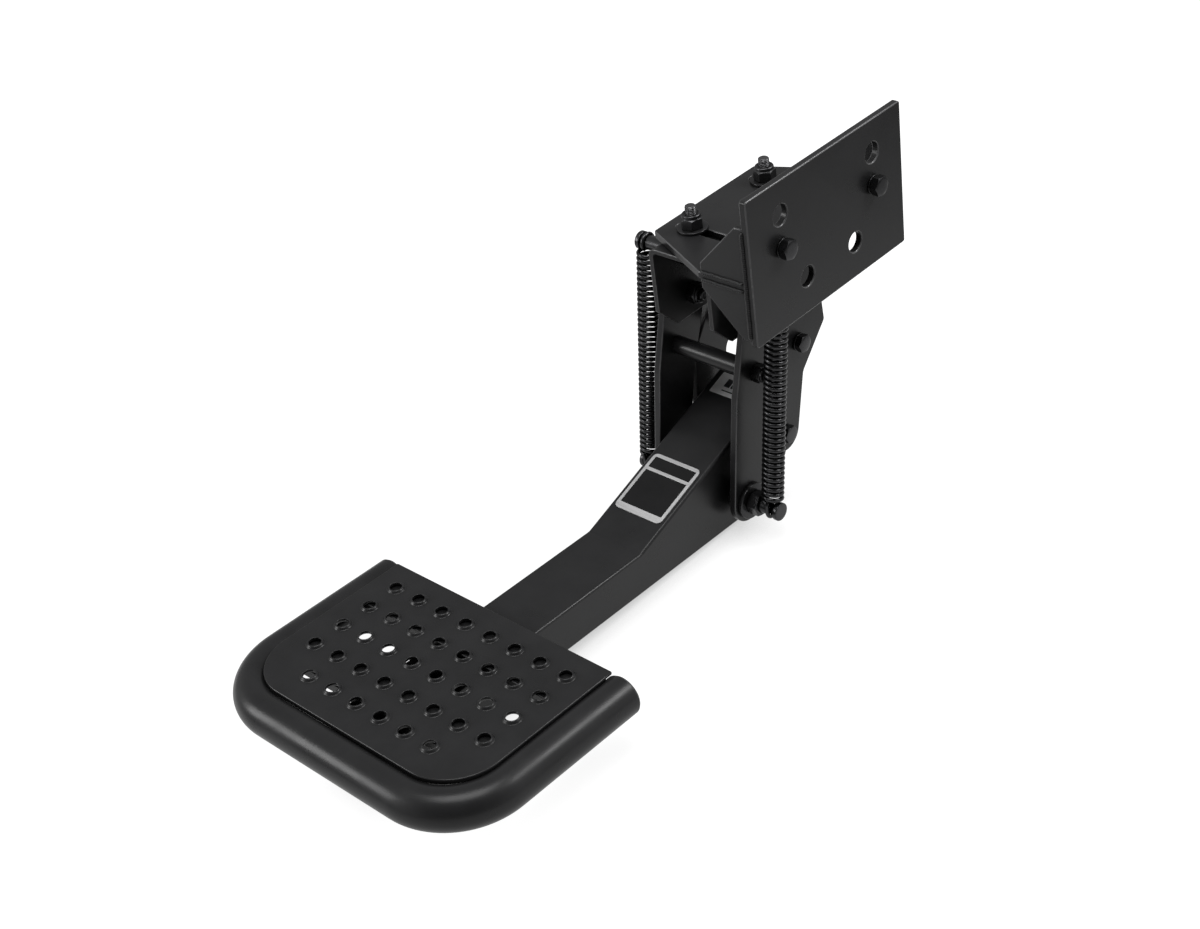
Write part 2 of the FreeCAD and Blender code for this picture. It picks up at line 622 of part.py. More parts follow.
def link(name, side, pivots, holes):
    line = [(place.y, place.z) for place in pivots]
    outline = link_outline(line, size("link_width"), size("knee_radius"))
    start, thickness = span(side, LINK_INNER, LINK_OUTER)
    body = plate_body(name, "YZ_Plane", outline, thickness, start)
    sketch = sketch_on(body, name + "_holes", "YZ_Plane", [circle(p.y, p.z, d) for p, d in holes], start)
    pocket(body, name + "_hole_cut", sketch, thickness)
    return node(body, name)


def spacer(label, place, head_side):
    """A tube between the two links, on a through bolt with its head on one side and its nut on the other."""
    tag = f"{label}_spacer"
    length = "Sizes.link_gap"
    start = "-Sizes.link_gap / 2 - Sizes.step_offset"
    bore = "Sizes.bolt_diameter + 2 * Sizes.hole_clearance"
    tube = cut(f"{tag}_tube", rod(f"{tag}_outer", "Sizes.spacer_diameter", start, length, *place),
               rod(f"{tag}_inner", bore, start, length, *place))
    node(tube, f"{tag}_tube")
    tail = f"{LINK_OUTER} + Sizes.nut_height + Sizes.nut_collar_height + Sizes.bolt_tail"
    near = f"-({tail})"
    seat = f"{LINK_OUTER} + Sizes.spring_washer_thickness"
    node(side_ring(f"{tag}_washer", head_side, "Sizes.spring_washer_diameter",
                   f"Sizes.bolt_diameter + 2 * {RUN}", LINK_OUTER, seat, place), f"{tag}_washer")
    node(hex_bolt(f"{tag}_bolt", head_side, near, seat, place), f"{tag}_bolt")
    node(lock_nut(f"{tag}_nut", -head_side, LINK_OUTER, place, True), f"{tag}_nut")


def front_links():
    running = 2 * size("running_clearance")
    knee = front_lower + V(0, size("front_knee_back"), size("front_knee_rise"))
    spacer_place = front_lower + V(0, size("front_spacer_back"), size("front_spacer_rise"))
    holes = [
        (front_upper, size("bolt_diameter") + running),
        (front_lower, size("axle_diameter") + 2 * size("hole_clearance")),
        (spacer_place, size("bolt_diameter") + 2 * size("hole_clearance"))]
    for side, name in ((-1, "front_link_left"), (1, "front_link_right")):
        link(name, side, [front_lower, knee, front_upper], holes)
    spacer("front", FRONT_SPACER, -1)


def lower_axle():
    """The long axle through both front links and the arm, with a grooved end on each side for the springs."""
    parts = [rod("axle_middle", "Sizes.axle_diameter", "-Sizes.link_gap / 2 - Sizes.step_offset",
                 "Sizes.link_gap", *FRONT_LOWER)]
    washers = []
    nuts = []
    washer_out = f"{LINK_OUTER} + Sizes.axle_washer_thickness"
    bore = f"Sizes.axle_diameter + 2 * {RUN}"
    for side in (-1, 1):
        tag = "left" if side < 0 else "right"
        parts += grooved_end(f"axle_{tag}", side, LINK_INNER, FRONT_LOWER)
        washers.append(side_ring(f"axle_washer_{tag}", side, "Sizes.axle_washer_diameter", bore, LINK_OUTER,
                                 washer_out, FRONT_LOWER))
        nut_out = f"{washer_out} + Sizes.axle_nut_height"
        start, length = span(side, washer_out, nut_out)
        nuts.append(cut(f"axle_nut_{tag}",
                        hexagon(f"axle_nut_hex_{tag}", "Sizes.axle_flats", start, length, *FRONT_LOWER),
                        rod(f"axle_nut_bore_{tag}", bore, start, length, *FRONT_LOWER)))
    node(fuse("lower_axle", parts), "lower_axle")
    node(group("axle_washers", washers), "axle_washers")
    node(group("axle_nuts", nuts), "axle_nuts")


def rear_links():
    fitted = size("bolt_diameter") + 2 * size("hole_clearance")
    low_knee = rear_lower + V(0, size("rear_low_knee_back"), size("rear_low_knee_rise"))
    high_knee = rear_lower + V(0, size("rear_high_knee_back"), size("rear_high_knee_rise"))
    spacer_place = rear_lower + V(0, size("rear_spacer_back"), size("rear_spacer_rise"))
    holes = [
        (rear_upper, size("bolt_diameter") + 2 * size("running_clearance")),
        (rear_lower, fitted),
        (spacer_place, fitted)]
    for side, name in ((-1, "rear_link_left"), (1, "rear_link_right")):
        link(name, side, [rear_lower, low_knee, high_knee, rear_upper], holes)
    spacer("rear", REAR_SPACER, 1)
    bolts = []
    nuts = []
    seat = f"{ARM_INNER} - Sizes.side_clearance"
    tail = f"{seat} - Sizes.nut_height - Sizes.nut_collar_height - Sizes.bolt_tail"
    for side in (-1, 1):
        tag = f"lower_{'left' if side < 0 else 'right'}"
        bolts.append(hex_bolt(f"rear_bolt_{tag}", side, tail, LINK_OUTER, REAR_LOWER))
        nuts.append(lock_nut(f"rear_nut_{tag}", side, seat, REAR_LOWER, False))
    node(group("rear_lower_bolts", bolts), "rear_lower_bolts")
    node(group("rear_lower_nuts", nuts), "rear_lower_nuts")


# Arm and pad, drawn in the arm's frame with its origin at the lower front pivot

def slope_height(y):
    """Height of the arm's top at a distance along the arm."""
    rise = max(0, y + size("arm_bend_forward"))
    return size("arm_top") + rise * math.tan(math.radians(size("arm_slope")))


def tube_centre():
    """Lateral offset and height of the rim tube's centre line."""
    return size("pad_width") / 2 + size("tube_side_overhang"), size("pad_top") - size("tube_drop")


def pad_front():
    return -size("pad_rear_forward") - size("pad_length")


def arm_beam():
    rear = size("arm_rear")
    bottom = -size("arm_bottom")
    sheet_thickness = size("arm_sheet")
    front = pad_front() - size("tube_front_overhang") + size("tube_diameter") / 2
    bend = -size("arm_bend_forward")
    top = size("arm_top")
    heel = rear - size("arm_heel_forward")
    heel_height = size("arm_top") - size("arm_heel_drop")
    bend_radius = size("arm_bend_radius")
    outline = rounded([(front, bottom, 0), (heel, bottom, size("arm_toe_radius")),
                       (rear, heel_height, size("arm_heel_radius")),
                       (rear, slope_height(rear), size("arm_tail_radius")),
                       (bend, top, bend_radius), (front, top, 0)])
    near_side = "-Sizes.step_offset - Sizes.arm_width / 2"
    body = plate_body("arm_beam", "YZ_Plane", outline, "Sizes.arm_width", near_side)
    doc.recompute()
    solid = body.Tip
    long_edges = []
    half = size("arm_width") / 2
    for number, edge in enumerate(solid.Shape.Edges, start=1):
        box = edge.BoundBox
        flat = box.XLength < 1e-6
        middle = edge.valueAt((edge.FirstParameter + edge.LastParameter) / 2)
        on_side = abs(abs(middle.x + size("step_offset")) - half) < 1e-6
        if flat and on_side and front < middle.y < rear and middle.z > 0:
            long_edges.append(f"Edge{number}")
    rounding = body.newObject("PartDesign::Fillet", "arm_edges")
    rounding.Base = (solid, long_edges)
    bind(rounding, Radius="Sizes.arm_edge_radius")
    inner_slope = sheet_thickness / math.cos(math.radians(size("arm_slope")))
    inner_bend = bend + sheet_thickness * math.tan(math.radians(size("arm_slope") / 2))
    ahead = front - sheet_thickness
    behind = rear + sheet_thickness
    floor = bottom + sheet_thickness
    ceiling = top - sheet_thickness
    inside = rounded([(ahead, floor, 0), (heel + sheet_thickness, floor, 0),
                      (behind, heel_height + sheet_thickness, 0),
                      (behind, slope_height(behind) - inner_slope, 0),
                      (inner_bend, ceiling, bend_radius - sheet_thickness), (ahead, ceiling, 0)])
    hollow = sketch_on(body, "arm_hollow", "YZ_Plane", inside, near_side + " + Sizes.arm_sheet")
    pocket(body, "arm_hollow_cut", hollow, "Sizes.arm_width - 2 * Sizes.arm_sheet")
    front_bore = size("axle_diameter") + 2 * size("running_clearance")
    rear_bore = size("bolt_diameter") + 2 * size("side_clearance")
    bores = [circle(0, 0, front_bore), circle(arm_rear_pivot.y, arm_rear_pivot.z, rear_bore)]
    sketch = sketch_on(body, "arm_pivot_holes", "YZ_Plane", bores, "-Sizes.step_offset - Sizes.arm_width")
    pocket(body, "arm_pivot_cut", sketch, "2 * Sizes.arm_width")
    return on_arm(node(body, "arm_beam"))


def arm_bushes():
    """Bushes welded to the arm's sides, which hold it off the links."""
    for label, place, outer, bore in (
            ("front", ("0", "0"), "Sizes.axle_bush_diameter", f"Sizes.axle_diameter + 2 * {RUN}"),
            ("rear", (f"{arm_rear_pivot.y}", f"{arm_rear_pivot.z}"), "Sizes.bush_diameter",
             "Sizes.bolt_diameter + 2 * Sizes.side_clearance")):
        pair = []
        for side in (-1, 1):
            pair.append(side_ring(f"arm_{label}_bush_{'left' if side < 0 else 'right'}", side, outer, bore,
                                  ARM_OUTER, f"{LINK_INNER} - Sizes.side_clearance", place))
        on_arm(node(group(f"arm_{label}_bushes", pair), f"arm_{label}_bushes"))


def grip_places():
    """Centres of the raised holes; the front row has none at its two ends."""
    columns = round(size("pad_columns"))
    rows = round(size("pad_rows"))
    centre = -size("step_offset")
    first = -size("pad_rear_forward") - size("row_inset")
    places = []
    for row in range(rows):
        for column in range(columns):
            if row == rows - 1 and column in (0, columns - 1):
                continue
            across = (column - (columns - 1) / 2) * size("column_pitch")
            places.append((centre + across, first - row * size("row_pitch")))
    return places


def pad_lip():
    """The sheet's edge, turned down to the rim tube along the front and the sides."""
    outer = size("pad_width") / 2
    inner = outer - size("pad_sheet")
    rear = -size("pad_rear_forward") - size("lip_rear_gap")
    centre = -size("step_offset")
    corner = size("pad_corner_radius")
    front = pad_front() + size("pad_sheet")
    inner_corner = corner - size("pad_sheet")
    strip = rounded([(centre - outer, rear, 0), (centre - outer, pad_front(), corner),
                     (centre + outer, pad_front(), corner), (centre + outer, rear, 0),
                     (centre + inner, rear, 0), (centre + inner, front, inner_corner),
                     (centre - inner, front, inner_corner), (centre - inner, rear, 0)])
    base = "Sizes.pad_top - Sizes.pad_sheet - Sizes.lip_depth"
    blank = plate_body("pad_lip_blank", "XY_Plane", strip, "Sizes.lip_depth", base)
    relief = rim_path("pad_lip_relief", f"Sizes.tube_diameter / 2 + {RUN}")
    return cut("pad_lip", blank, relief)


def pad_plate():
    """The tread: a sheet with large front corners, a turned-down edge and punched, raised holes."""
    half = size("pad_width") / 2
    rear = -size("pad_rear_forward")
    centre = -size("step_offset")
    corner = size("pad_corner_radius")
    rear_corner = size("pad_rear_corner")
    outline = rounded([(centre - half, rear, rear_corner), (centre - half, pad_front(), corner),
                       (centre + half, pad_front(), corner), (centre + half, rear, rear_corner)])
    under = "Sizes.pad_top - Sizes.pad_sheet"
    body = plate_body("pad_sheet", "XY_Plane", outline, "Sizes.pad_sheet", under)
    places = grip_places()
    rings = [circle(x, y, size("grip_base_diameter")) for x, y in places]
    collars = sketch_on(body, "grip_collars", "XY_Plane", rings, "Sizes.pad_top")
    pad(body, "grip_raise", collars, "Sizes.grip_height", taper="-Sizes.grip_taper")
    openings = [circle(x, y, size("grip_hole_diameter")) for x, y in places]
    holes = sketch_on(body, "grip_holes", "XY_Plane", openings, under)
    pocket(body, "grip_hole_cut", holes, "Sizes.pad_sheet + Sizes.grip_height")
    return on_arm(node(fuse("pad_plate", [body, pad_lip()]), "pad_plate"))


def rim_path(name, radius_expression):
    """A rod bent to the rim's U, from one rear end round the front to the other."""
    half, height = tube_centre()
    centre = -size("step_offset")
    rear = -size("pad_rear_forward")
    front = pad_front() - size("tube_front_overhang")
    bend = size("tube_bend_radius")
    turn = bend * (1 - math.sqrt(0.5))
    left = centre - half
    right = centre + half
    left_end = V(left, rear, height)
    left_bend = V(left, front + bend, height)
    front_left = V(left + bend, front, height)
    front_right = V(right - bend, front, height)
    right_bend = V(right, front + bend, height)
    runs = [
        Part.LineSegment(left_end, left_bend),
        Part.Arc(left_bend, V(left + turn, front + turn, height), front_left),
        Part.LineSegment(front_left, front_right),
        Part.Arc(front_right, V(right - turn, front + turn, height), right_bend),
        Part.LineSegment(right_bend, V(right, rear, height))]
    spine = doc.addObject("Part::Feature", name + "_path")
    spine.Shape = Part.Wire([run.toShape() for run in runs])
    section = doc.addObject("Part::Circle", name + "_section")
    section.Placement = FreeCAD.Placement(left_end, FreeCAD.Rotation(V(1, 0, 0), 90))
    bind(section, Radius=radius_expression)
    sweep = doc.addObject("Part::Sweep", name)
    sweep.Sections = [section]
    sweep.Spine = (spine, [f"Edge{i + 1}" for i in range(len(runs))])
    sweep.Solid = True
    sweep.Frenet = False
    return sweep


def rim_tube():
    outer = rim_path("rim_outer", "Sizes.tube_diameter / 2")
    inner = rim_path("rim_inner", "Sizes.tube_diameter / 2 - Sizes.tube_wall")
    return on_arm(node(cut("rim_tube", outer, inner), "rim_tube"))


def tube_caps():
    """Plastic plugs in the tube's two rear ends, each with a thin rim over the end."""
    half, height = tube_centre()
    caps = []
    for side in (-1, 1):
        tag = "left" if side < 0 else "right"
        x = f"{side * half} - Sizes.step_offset"
        plug = doc.addObject("Part::Cylinder", f"cap_plug_{tag}")
        plug.Placement.Rotation = FreeCAD.Rotation(V(1, 0, 0), 90)
        bind(plug, Radius=f"Sizes.tube_diameter / 2 - Sizes.tube_wall - {RUN}", Height="Sizes.cap_length",
             x=x, y="-Sizes.pad_rear_forward", z=height)
        rim = doc.addObject("Part::Cylinder", f"cap_rim_{tag}")
        rim.Placement.Rotation = FreeCAD.Rotation(V(1, 0, 0), 90)
        bind(rim, Radius="Sizes.tube_diameter / 2 - Sizes.tube_wall / 2", Height="Sizes.cap_rim", x=x,
             y="-Sizes.pad_rear_forward + Sizes.cap_rim", z=height)
        caps.append(fuse(f"tube_cap_{tag}", [plug, rim]))
    return on_arm(node(group("tube_end_caps", caps), "tube_end_caps"))


def pad_bars():
    """Two flat bars across the arm, under the tread, from one side of the rim to the other."""
    bars = []
    half = tube_centre()[0]
    rows = (("rear", "Sizes.rear_bar_inset"), ("front", "Sizes.pad_length - Sizes.front_bar_inset"))
    for label, inset in rows:
        bar = doc.addObject("Part::Box", f"pad_bar_{label}")
        reach = f"({half} - Sizes.{label}_bar_gap)"
        bind(bar, Length=f"2 * {reach}", Width="Sizes.bar_width",
             Height="Sizes.pad_top - Sizes.pad_sheet - Sizes.arm_top",
             x=f"-{reach} - Sizes.step_offset",
             y=f"-Sizes.pad_rear_forward - ({inset}) - Sizes.bar_width / 2", z="Sizes.arm_top")
        bars.append(bar)
    return on_arm(node(group("pad_cross_bars", bars), "pad_cross_bars"))


def on_slope(feature):
    """Lay a flat piece, drawn with its origin at the arm's bend, on the sloping top."""
    slope = FreeCAD.Rotation(V(1, 0, 0), size("arm_slope"))
    seat = V(-size("step_offset"), -size("arm_bend_forward"), size("arm_top"))
    world = FreeCAD.Placement(front_lower, arm_tilt).multiply(FreeCAD.Placement(seat, slope))
    feature.Placement = world
    return feature


def rectangle(width, start, length, corner, centre=0):
    left = centre - width / 2
    right = centre + width / 2
    end = start + length
    return rounded([(left, start, corner), (right, start, corner), (right, end, corner), (left, end, corner)])


def load_plate():
    """A thin framed plate with two dark fields let into it."""
    width = size("load_plate_width")
    length = size("load_plate_length")
    start = size("load_plate_rise")
    corner = size("load_plate_corner")
    border = size("load_plate_border")
    bar = size("load_field_bar")
    split = size("load_field_split")
    across = width - 2 * border
    large = rectangle(across, start + border, length - split - border - bar / 2, corner / 2)
    small = rectangle(across, start + length - split + bar / 2, split - border - bar / 2, corner / 2)
    outline = rectangle(width, start, length, corner)
    body = plate_body("load_plate", "XY_Plane", outline, "Sizes.load_plate_thickness")
    seat = "Sizes.load_plate_thickness - Sizes.load_field_depth"
    depth = "Sizes.load_field_depth"
    recess = sketch_on(body, "load_field_recess", "XY_Plane", large + small, seat)
    pocket(body, "load_field_cut", recess, depth)
    on_slope(node(body, "load_plate"))
    fields = []
    for label, curves in (("large", large), ("small", small)):
        fields.append(plate_body(f"load_field_{label}", "XY_Plane", curves, depth, seat))
    on_slope(node(group("load_plate_fields", fields), "load_plate_fields"))


def sticker():
    width = size("sticker_width")
    curves = rectangle(width, size("sticker_rise"), size("sticker_length"), size("sticker_corner_radius"),
                       -size("sticker_shift"))
    return on_slope(node(plate_body("sticker", "XY_Plane", curves, "Sizes.sticker_thickness"), "sticker"))


# Springs

def wire_solid(points, radius, sides):
    """A solid wire along points, as a ruled skin over many-sided sections square to the path."""
    sections = []
    reference = V(1, 0, 0)
    for i, point in enumerate(points):
        ahead = points[min(i + 1, len(points) - 1)] - points[max(i - 1, 0)]
        tangent = ahead.normalize()
        reference = (reference - tangent * reference.dot(tangent)).normalize()
        other = tangent.cross(reference)
        ring = []
        for corner in range(sides):
            angle = 2 * math.pi * (corner + 0.5) / sides
            ring.append(point + reference * (radius * math.cos(angle)) + other * (radius * math.sin(angle)))
        ring.append(ring[0])
        sections.append(Part.makePolygon(ring))
    return Part.makeLoft(sections, True, True)


def spring_points(length):
    """The wire's centre line down local -Z from the upper pin: a hook over each pin and a coil between."""
    coil = (size("spring_diameter") - size("spring_wire")) / 2
    sweep = size("hook_sweep")
    hook_steps = round(size("hook_steps"))
    flat = math.cos(math.radians(sweep / hook_steps / 2))
    hook = (size("groove_diameter") / 2 + size("spring_wire") / 2 + size("hook_clearance")) / flat
    reach = size("hook_reach")
    body_length = length - 2 * reach
    turns = round(body_length / size("spring_pitch") - 0.5) + 0.5
    count = round(turns * size("turn_steps"))
    points = []
    for step in range(hook_steps + 1):
        angle = math.radians(sweep - sweep * step / hook_steps)
        points.append(V(0, hook * math.cos(angle), hook * math.sin(angle)))
    for i in range(count + 1):
        angle = 2 * math.pi * turns * i / count
        points.append(V(coil * math.sin(angle), coil * math.cos(angle), -reach - body_length * i / count))
    for step in range(hook_steps + 1):
        angle = math.radians(180 + sweep * step / hook_steps)
        points.append(V(0, hook * math.cos(angle), hook * math.sin(angle) - length))
    return points


def springs():
    """The springs hang from the upper pins to the lower axle's grooves."""
    run = front_lower - spring_upper
    lean = FreeCAD.Rotation(V(0, 0, -1), run)
    for side, name in ((-1, "spring_left"), (1, "spring_right")):
        feature = doc.addObject("Part::Feature", name)
        path = spring_points(run.Length)
        feature.Shape = wire_solid(path, size("spring_wire") / 2, round(size("wire_sides")))
        across = side * size("spring_centre") - size("step_offset")
        feature.Placement = FreeCAD.Placement(V(across, spring_upper.y, spring_upper.z), lean)
        node(feature, name)


mount_plate()
shelf_plate()
gussets()
weld_beads()
chassis_fasteners()
hanger_channel()
hanger_fasteners()
upper_pins()
upper_pivots("front", FRONT_UPPER)
upper_pivots("rear", REAR_UPPER)
front_links()
lower_axle()
rear_links()
arm_beam()
arm_bushes()
pad_plate()
rim_tube()
tube_caps()
pad_bars()
load_plate()
sticker()
springs()
doc.recompute()

for item in doc.Objects:
    if "Invalid" in item.State or "Error" in item.State:
        raise RuntimeError(f"{item.Label}: {item.State}")
os.makedirs("parts", exist_ok=True)
for item in nodes:
    shape = item.Shape
    if shape.isNull() or not shape.isValid():
        raise RuntimeError(f"{item.Label} has no valid shape")
    shape.exportStep(f"parts/{item.Label}.step")
    print(f"{item.Label}: {len(shape.Solids)} solids, {shape.Volume:.0f} mm3")
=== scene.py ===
import json
import math

import bmesh
import bpy
from mathutils import Matrix, Quaternion, Vector
from mathutils.geometry import tessellate_polygon


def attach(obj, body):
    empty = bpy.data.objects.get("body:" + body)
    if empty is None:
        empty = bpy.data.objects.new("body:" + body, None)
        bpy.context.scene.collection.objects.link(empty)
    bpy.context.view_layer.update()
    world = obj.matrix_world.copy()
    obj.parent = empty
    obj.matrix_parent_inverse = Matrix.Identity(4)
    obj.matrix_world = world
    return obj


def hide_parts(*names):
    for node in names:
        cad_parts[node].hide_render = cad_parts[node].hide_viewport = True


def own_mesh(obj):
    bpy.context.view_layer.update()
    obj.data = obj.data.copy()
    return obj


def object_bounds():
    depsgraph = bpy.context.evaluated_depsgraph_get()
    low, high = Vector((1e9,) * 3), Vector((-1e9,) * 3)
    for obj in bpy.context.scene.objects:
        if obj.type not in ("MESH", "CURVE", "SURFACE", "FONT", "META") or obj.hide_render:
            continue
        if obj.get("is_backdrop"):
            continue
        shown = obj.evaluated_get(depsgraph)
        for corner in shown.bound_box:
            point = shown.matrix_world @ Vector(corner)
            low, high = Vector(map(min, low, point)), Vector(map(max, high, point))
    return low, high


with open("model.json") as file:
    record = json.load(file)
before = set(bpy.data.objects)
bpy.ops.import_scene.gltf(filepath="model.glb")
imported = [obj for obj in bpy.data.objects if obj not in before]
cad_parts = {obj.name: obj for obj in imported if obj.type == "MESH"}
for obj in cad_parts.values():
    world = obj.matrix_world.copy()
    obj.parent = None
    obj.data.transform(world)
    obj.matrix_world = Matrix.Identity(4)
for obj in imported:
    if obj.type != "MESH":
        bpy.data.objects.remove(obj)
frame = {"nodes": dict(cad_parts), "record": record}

# Dressed model and studio of the retractable rear step. Lengths are millimetres until make() scales them.

MM = 0.001
ACROSS = Vector((1, 0, 0))
UP = Vector((0, 0, 1))

CENTRE = -115.0                      # the step's centre plane
FRONT_UPPER = Vector((CENTRE, -50, -139))
REAR_UPPER = Vector((CENTRE, 20, -93))
FRONT_LOWER = Vector((CENTRE, -94, -349))
REAR_LOWER = Vector((CENTRE, -24, -303))
SPRING_UPPER = Vector((CENTRE, -55, -91))
FRONT_SPACER = Vector((CENTRE, -65, -202))
REAR_SPACER = Vector((CENTRE, 7, -203.5))
PLATE_BACK = -8.0
PLATE_TOP = 36.0
PLATE_BOTTOM = -124.0
PLATE_HALF = 125.0
UPPER_HOLES = 75.0                   # the plate's holes lie this far from its middle
LOWER_HOLES = 40.0
LOWER_HOLE_LEVEL = -84.5
CHASSIS_LEVEL = -35.0
SHELF_TOP = -55.0
SHELF_UNDER = -63.0
GUSSET_TOP = 6.0
GUSSET_BOTTOM = -119.0
GUSSET_REACH = PLATE_BACK - 57
GUSSET_SHEET = 6.0
HANGER_OFFSET = -14.0
HANGER_REACH = 60.0
LINK_INNER = 49.0
LINK_OUTER = 57.0
CHANNEL_INNER = 34.0
CHANNEL_OUTER = 39.0
ARM_INNER = 33.5
SPRING_OUT = {-1: 85.0, 1: 87.4}
PAD_TILT = math.radians(2.2)
ARM_SLOPE = math.radians(20.5)
ARM_BEND = 153.5
ARM_TOP = 12.1

ARM_FRAME = Matrix.Translation((0, FRONT_LOWER.y, FRONT_LOWER.z)) @ Matrix.Rotation(-PAD_TILT, 4, "X")
SLOPE_FRAME = (ARM_FRAME @ Matrix.Translation((CENTRE, -ARM_BEND, ARM_TOP))
               @ Matrix.Rotation(ARM_SLOPE, 4, "X"))

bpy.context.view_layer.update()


# Materials

PAINTED_SHADE_REACH = 0.04                       # metres that the painted shade in crevices and the painted contact shadow on the floor reach


def graph(name):
    material = bpy.data.materials.new(name)
    material.use_nodes = True
    nodes = material.node_tree.nodes
    return material, nodes, material.node_tree.links, nodes["Principled BSDF"]


def noise(nodes, links, coordinates, scale, detail, roughness):
    texture = nodes.new("ShaderNodeTexNoise")
    texture.inputs["Scale"].default_value = scale
    texture.inputs["Detail"].default_value = detail
    texture.inputs["Roughness"].default_value = roughness
    links.new(coordinates, texture.inputs["Vector"])
    return texture.outputs["Fac"]


def spread(nodes, links, value, low, high, start=0.35, end=0.65):
    ranged = nodes.new("ShaderNodeMapRange")
    ranged.inputs["From Min"].default_value = start
    ranged.inputs["From Max"].default_value = end
    ranged.inputs["To Min"].default_value = low
    ranged.inputs["To Max"].default_value = high
    links.new(value, ranged.inputs["Value"])
    return ranged.outputs["Result"]


def tint(nodes, links, value, dark, light):
    ramp = nodes.new("ShaderNodeValToRGB")
    ramp.color_ramp.elements[0].position = 0.3
    ramp.color_ramp.elements[1].position = 0.7
    ramp.color_ramp.elements[0].color = (*dark, 1)
    ramp.color_ramp.elements[1].color = (*light, 1)
    links.new(value, ramp.inputs["Fac"])
    return ramp.outputs["Color"]


def bump(nodes, links, height, distance, strength, under=None):
    feature = nodes.new("ShaderNodeBump")
    feature.inputs["Distance"].default_value = distance
    feature.inputs["Strength"].default_value = strength
    links.new(height, feature.inputs["Height"])
    if under:
        links.new(under, feature.inputs["Normal"])
    return feature.outputs["Normal"]


def coated(name, dark, light, rough, metallic, grain, specular=0.5):
    """A coating with slow colour and gloss changes over a fine grain, darkened by painted shade in crevices.

    grain is its scale, its height in metres and its strength.
    """
    material, nodes, links, shader = graph(name)
    scale, height, strength = grain
    place = nodes.new("ShaderNodeTexCoord").outputs["Object"]
    slow = noise(nodes, links, place, 22, 4, 0.6)
    fine = noise(nodes, links, place, scale, 3, 0.6)
    orange = noise(nodes, links, place, scale / 5, 2, 0.5)
    # painted shade: ambient occlusion darkens the base colour in crevices and recesses, where shade falls
    painted_crevice_shade = nodes.new("ShaderNodeAmbientOcclusion")
    painted_crevice_shade.inputs["Distance"].default_value = PAINTED_SHADE_REACH
    painted_crevice_shade.samples = 4
    links.new(tint(nodes, links, slow, dark, light), painted_crevice_shade.inputs["Color"])
    links.new(painted_crevice_shade.outputs["Color"], shader.inputs["Base Color"])
    links.new(spread(nodes, links, slow, *rough), shader.inputs["Roughness"])
    wavy = bump(nodes, links, orange, height * 2, strength * 0.6)
    links.new(bump(nodes, links, fine, height, strength, wavy), shader.inputs["Normal"])
    shader.inputs["Metallic"].default_value = metallic
    shader.inputs["Specular IOR Level"].default_value = specular
    return material


def brushed(name, dark, light, rough, metallic):
    """Metal brushed across its own width."""
    material, nodes, links, shader = graph(name)
    place = nodes.new("ShaderNodeTexCoord").outputs["Object"]
    stretch = nodes.new("ShaderNodeMapping")
    stretch.inputs["Scale"].default_value = (30, 1500, 1500)
    links.new(place, stretch.inputs["Vector"])
    streaks = noise(nodes, links, stretch.outputs["Vector"], 1, 3, 0.6)
    links.new(tint(nodes, links, streaks, dark, light), shader.inputs["Base Color"])
    links.new(spread(nodes, links, streaks, *rough), shader.inputs["Roughness"])
    links.new(bump(nodes, links, streaks, 0.00005, 0.3), shader.inputs["Normal"])
    shader.inputs["Metallic"].default_value = metallic
    return material


POWDER = coated("satin_black_powder", (0.0165, 0.0165, 0.0172), (0.0215, 0.0215, 0.0224), (0.27, 0.35), 0.0,
                (1500, 0.00006, 0.3), 0.34)
# painted highlight: a lighter coat for the bevel faces stands in for the light that rounded edges catch
EDGE_HIGHLIGHT_COAT = coated("satin_black_painted_edge_highlight", (0.085, 0.085, 0.088), (0.135, 0.135, 0.138), (0.22, 0.30), 0.0,
                   (1500, 0.00005, 0.3), 0.5)
FASTENER = coated("black_zinc", (0.045, 0.045, 0.047), (0.085, 0.085, 0.088), (0.22, 0.34), 0.8,
                  (900, 0.00004, 0.3), 0.45)
THREAD = coated("dark_thread", (0.08, 0.08, 0.082), (0.15, 0.15, 0.155), (0.24, 0.36), 0.8, (900, 0.00004, 0.3))
SPRING = coated("spring_wire", (0.045, 0.045, 0.047), (0.080, 0.080, 0.083), (0.20, 0.30), 0.85, (700, 0.00005, 0.3))
PLASTIC = coated("cap_plastic", (0.016, 0.016, 0.017), (0.022, 0.022, 0.023), (0.48, 0.60), 0.0,
                 (1100, 0.00008, 0.5), 0.4)
PLATE_METAL = brushed("brushed_alloy", (0.56, 0.56, 0.565), (0.74, 0.74, 0.745), (0.30, 0.42), 0.35)
PLATE_FIELD = coated("gloss_black_field", (0.004, 0.004, 0.0045), (0.007, 0.007, 0.0075), (0.16, 0.24), 0.0,
                     (800, 0.00003, 0.15))
LABEL = coated("label_film", (0.70, 0.70, 0.70), (0.80, 0.80, 0.80), (0.40, 0.52), 0.0, (500, 0.00003, 0.2))
LABEL_INK = coated("label_ink", (0.02, 0.02, 0.02), (0.03, 0.03, 0.03), (0.45, 0.55), 0.0, (500, 0.00003, 0.2))

SLOT_MATERIALS = {
    "powder_coat": POWDER, "black_fastener": FASTENER, "zinc_thread": THREAD, "spring_steel": SPRING,
    "end_plastic": PLASTIC, "plate_metal": PLATE_METAL, "plate_field": PLATE_FIELD, "label_white": LABEL,
}


# Pieces

WIDE_BEVEL = 1.0
FASTENER_EDGE = 0.25


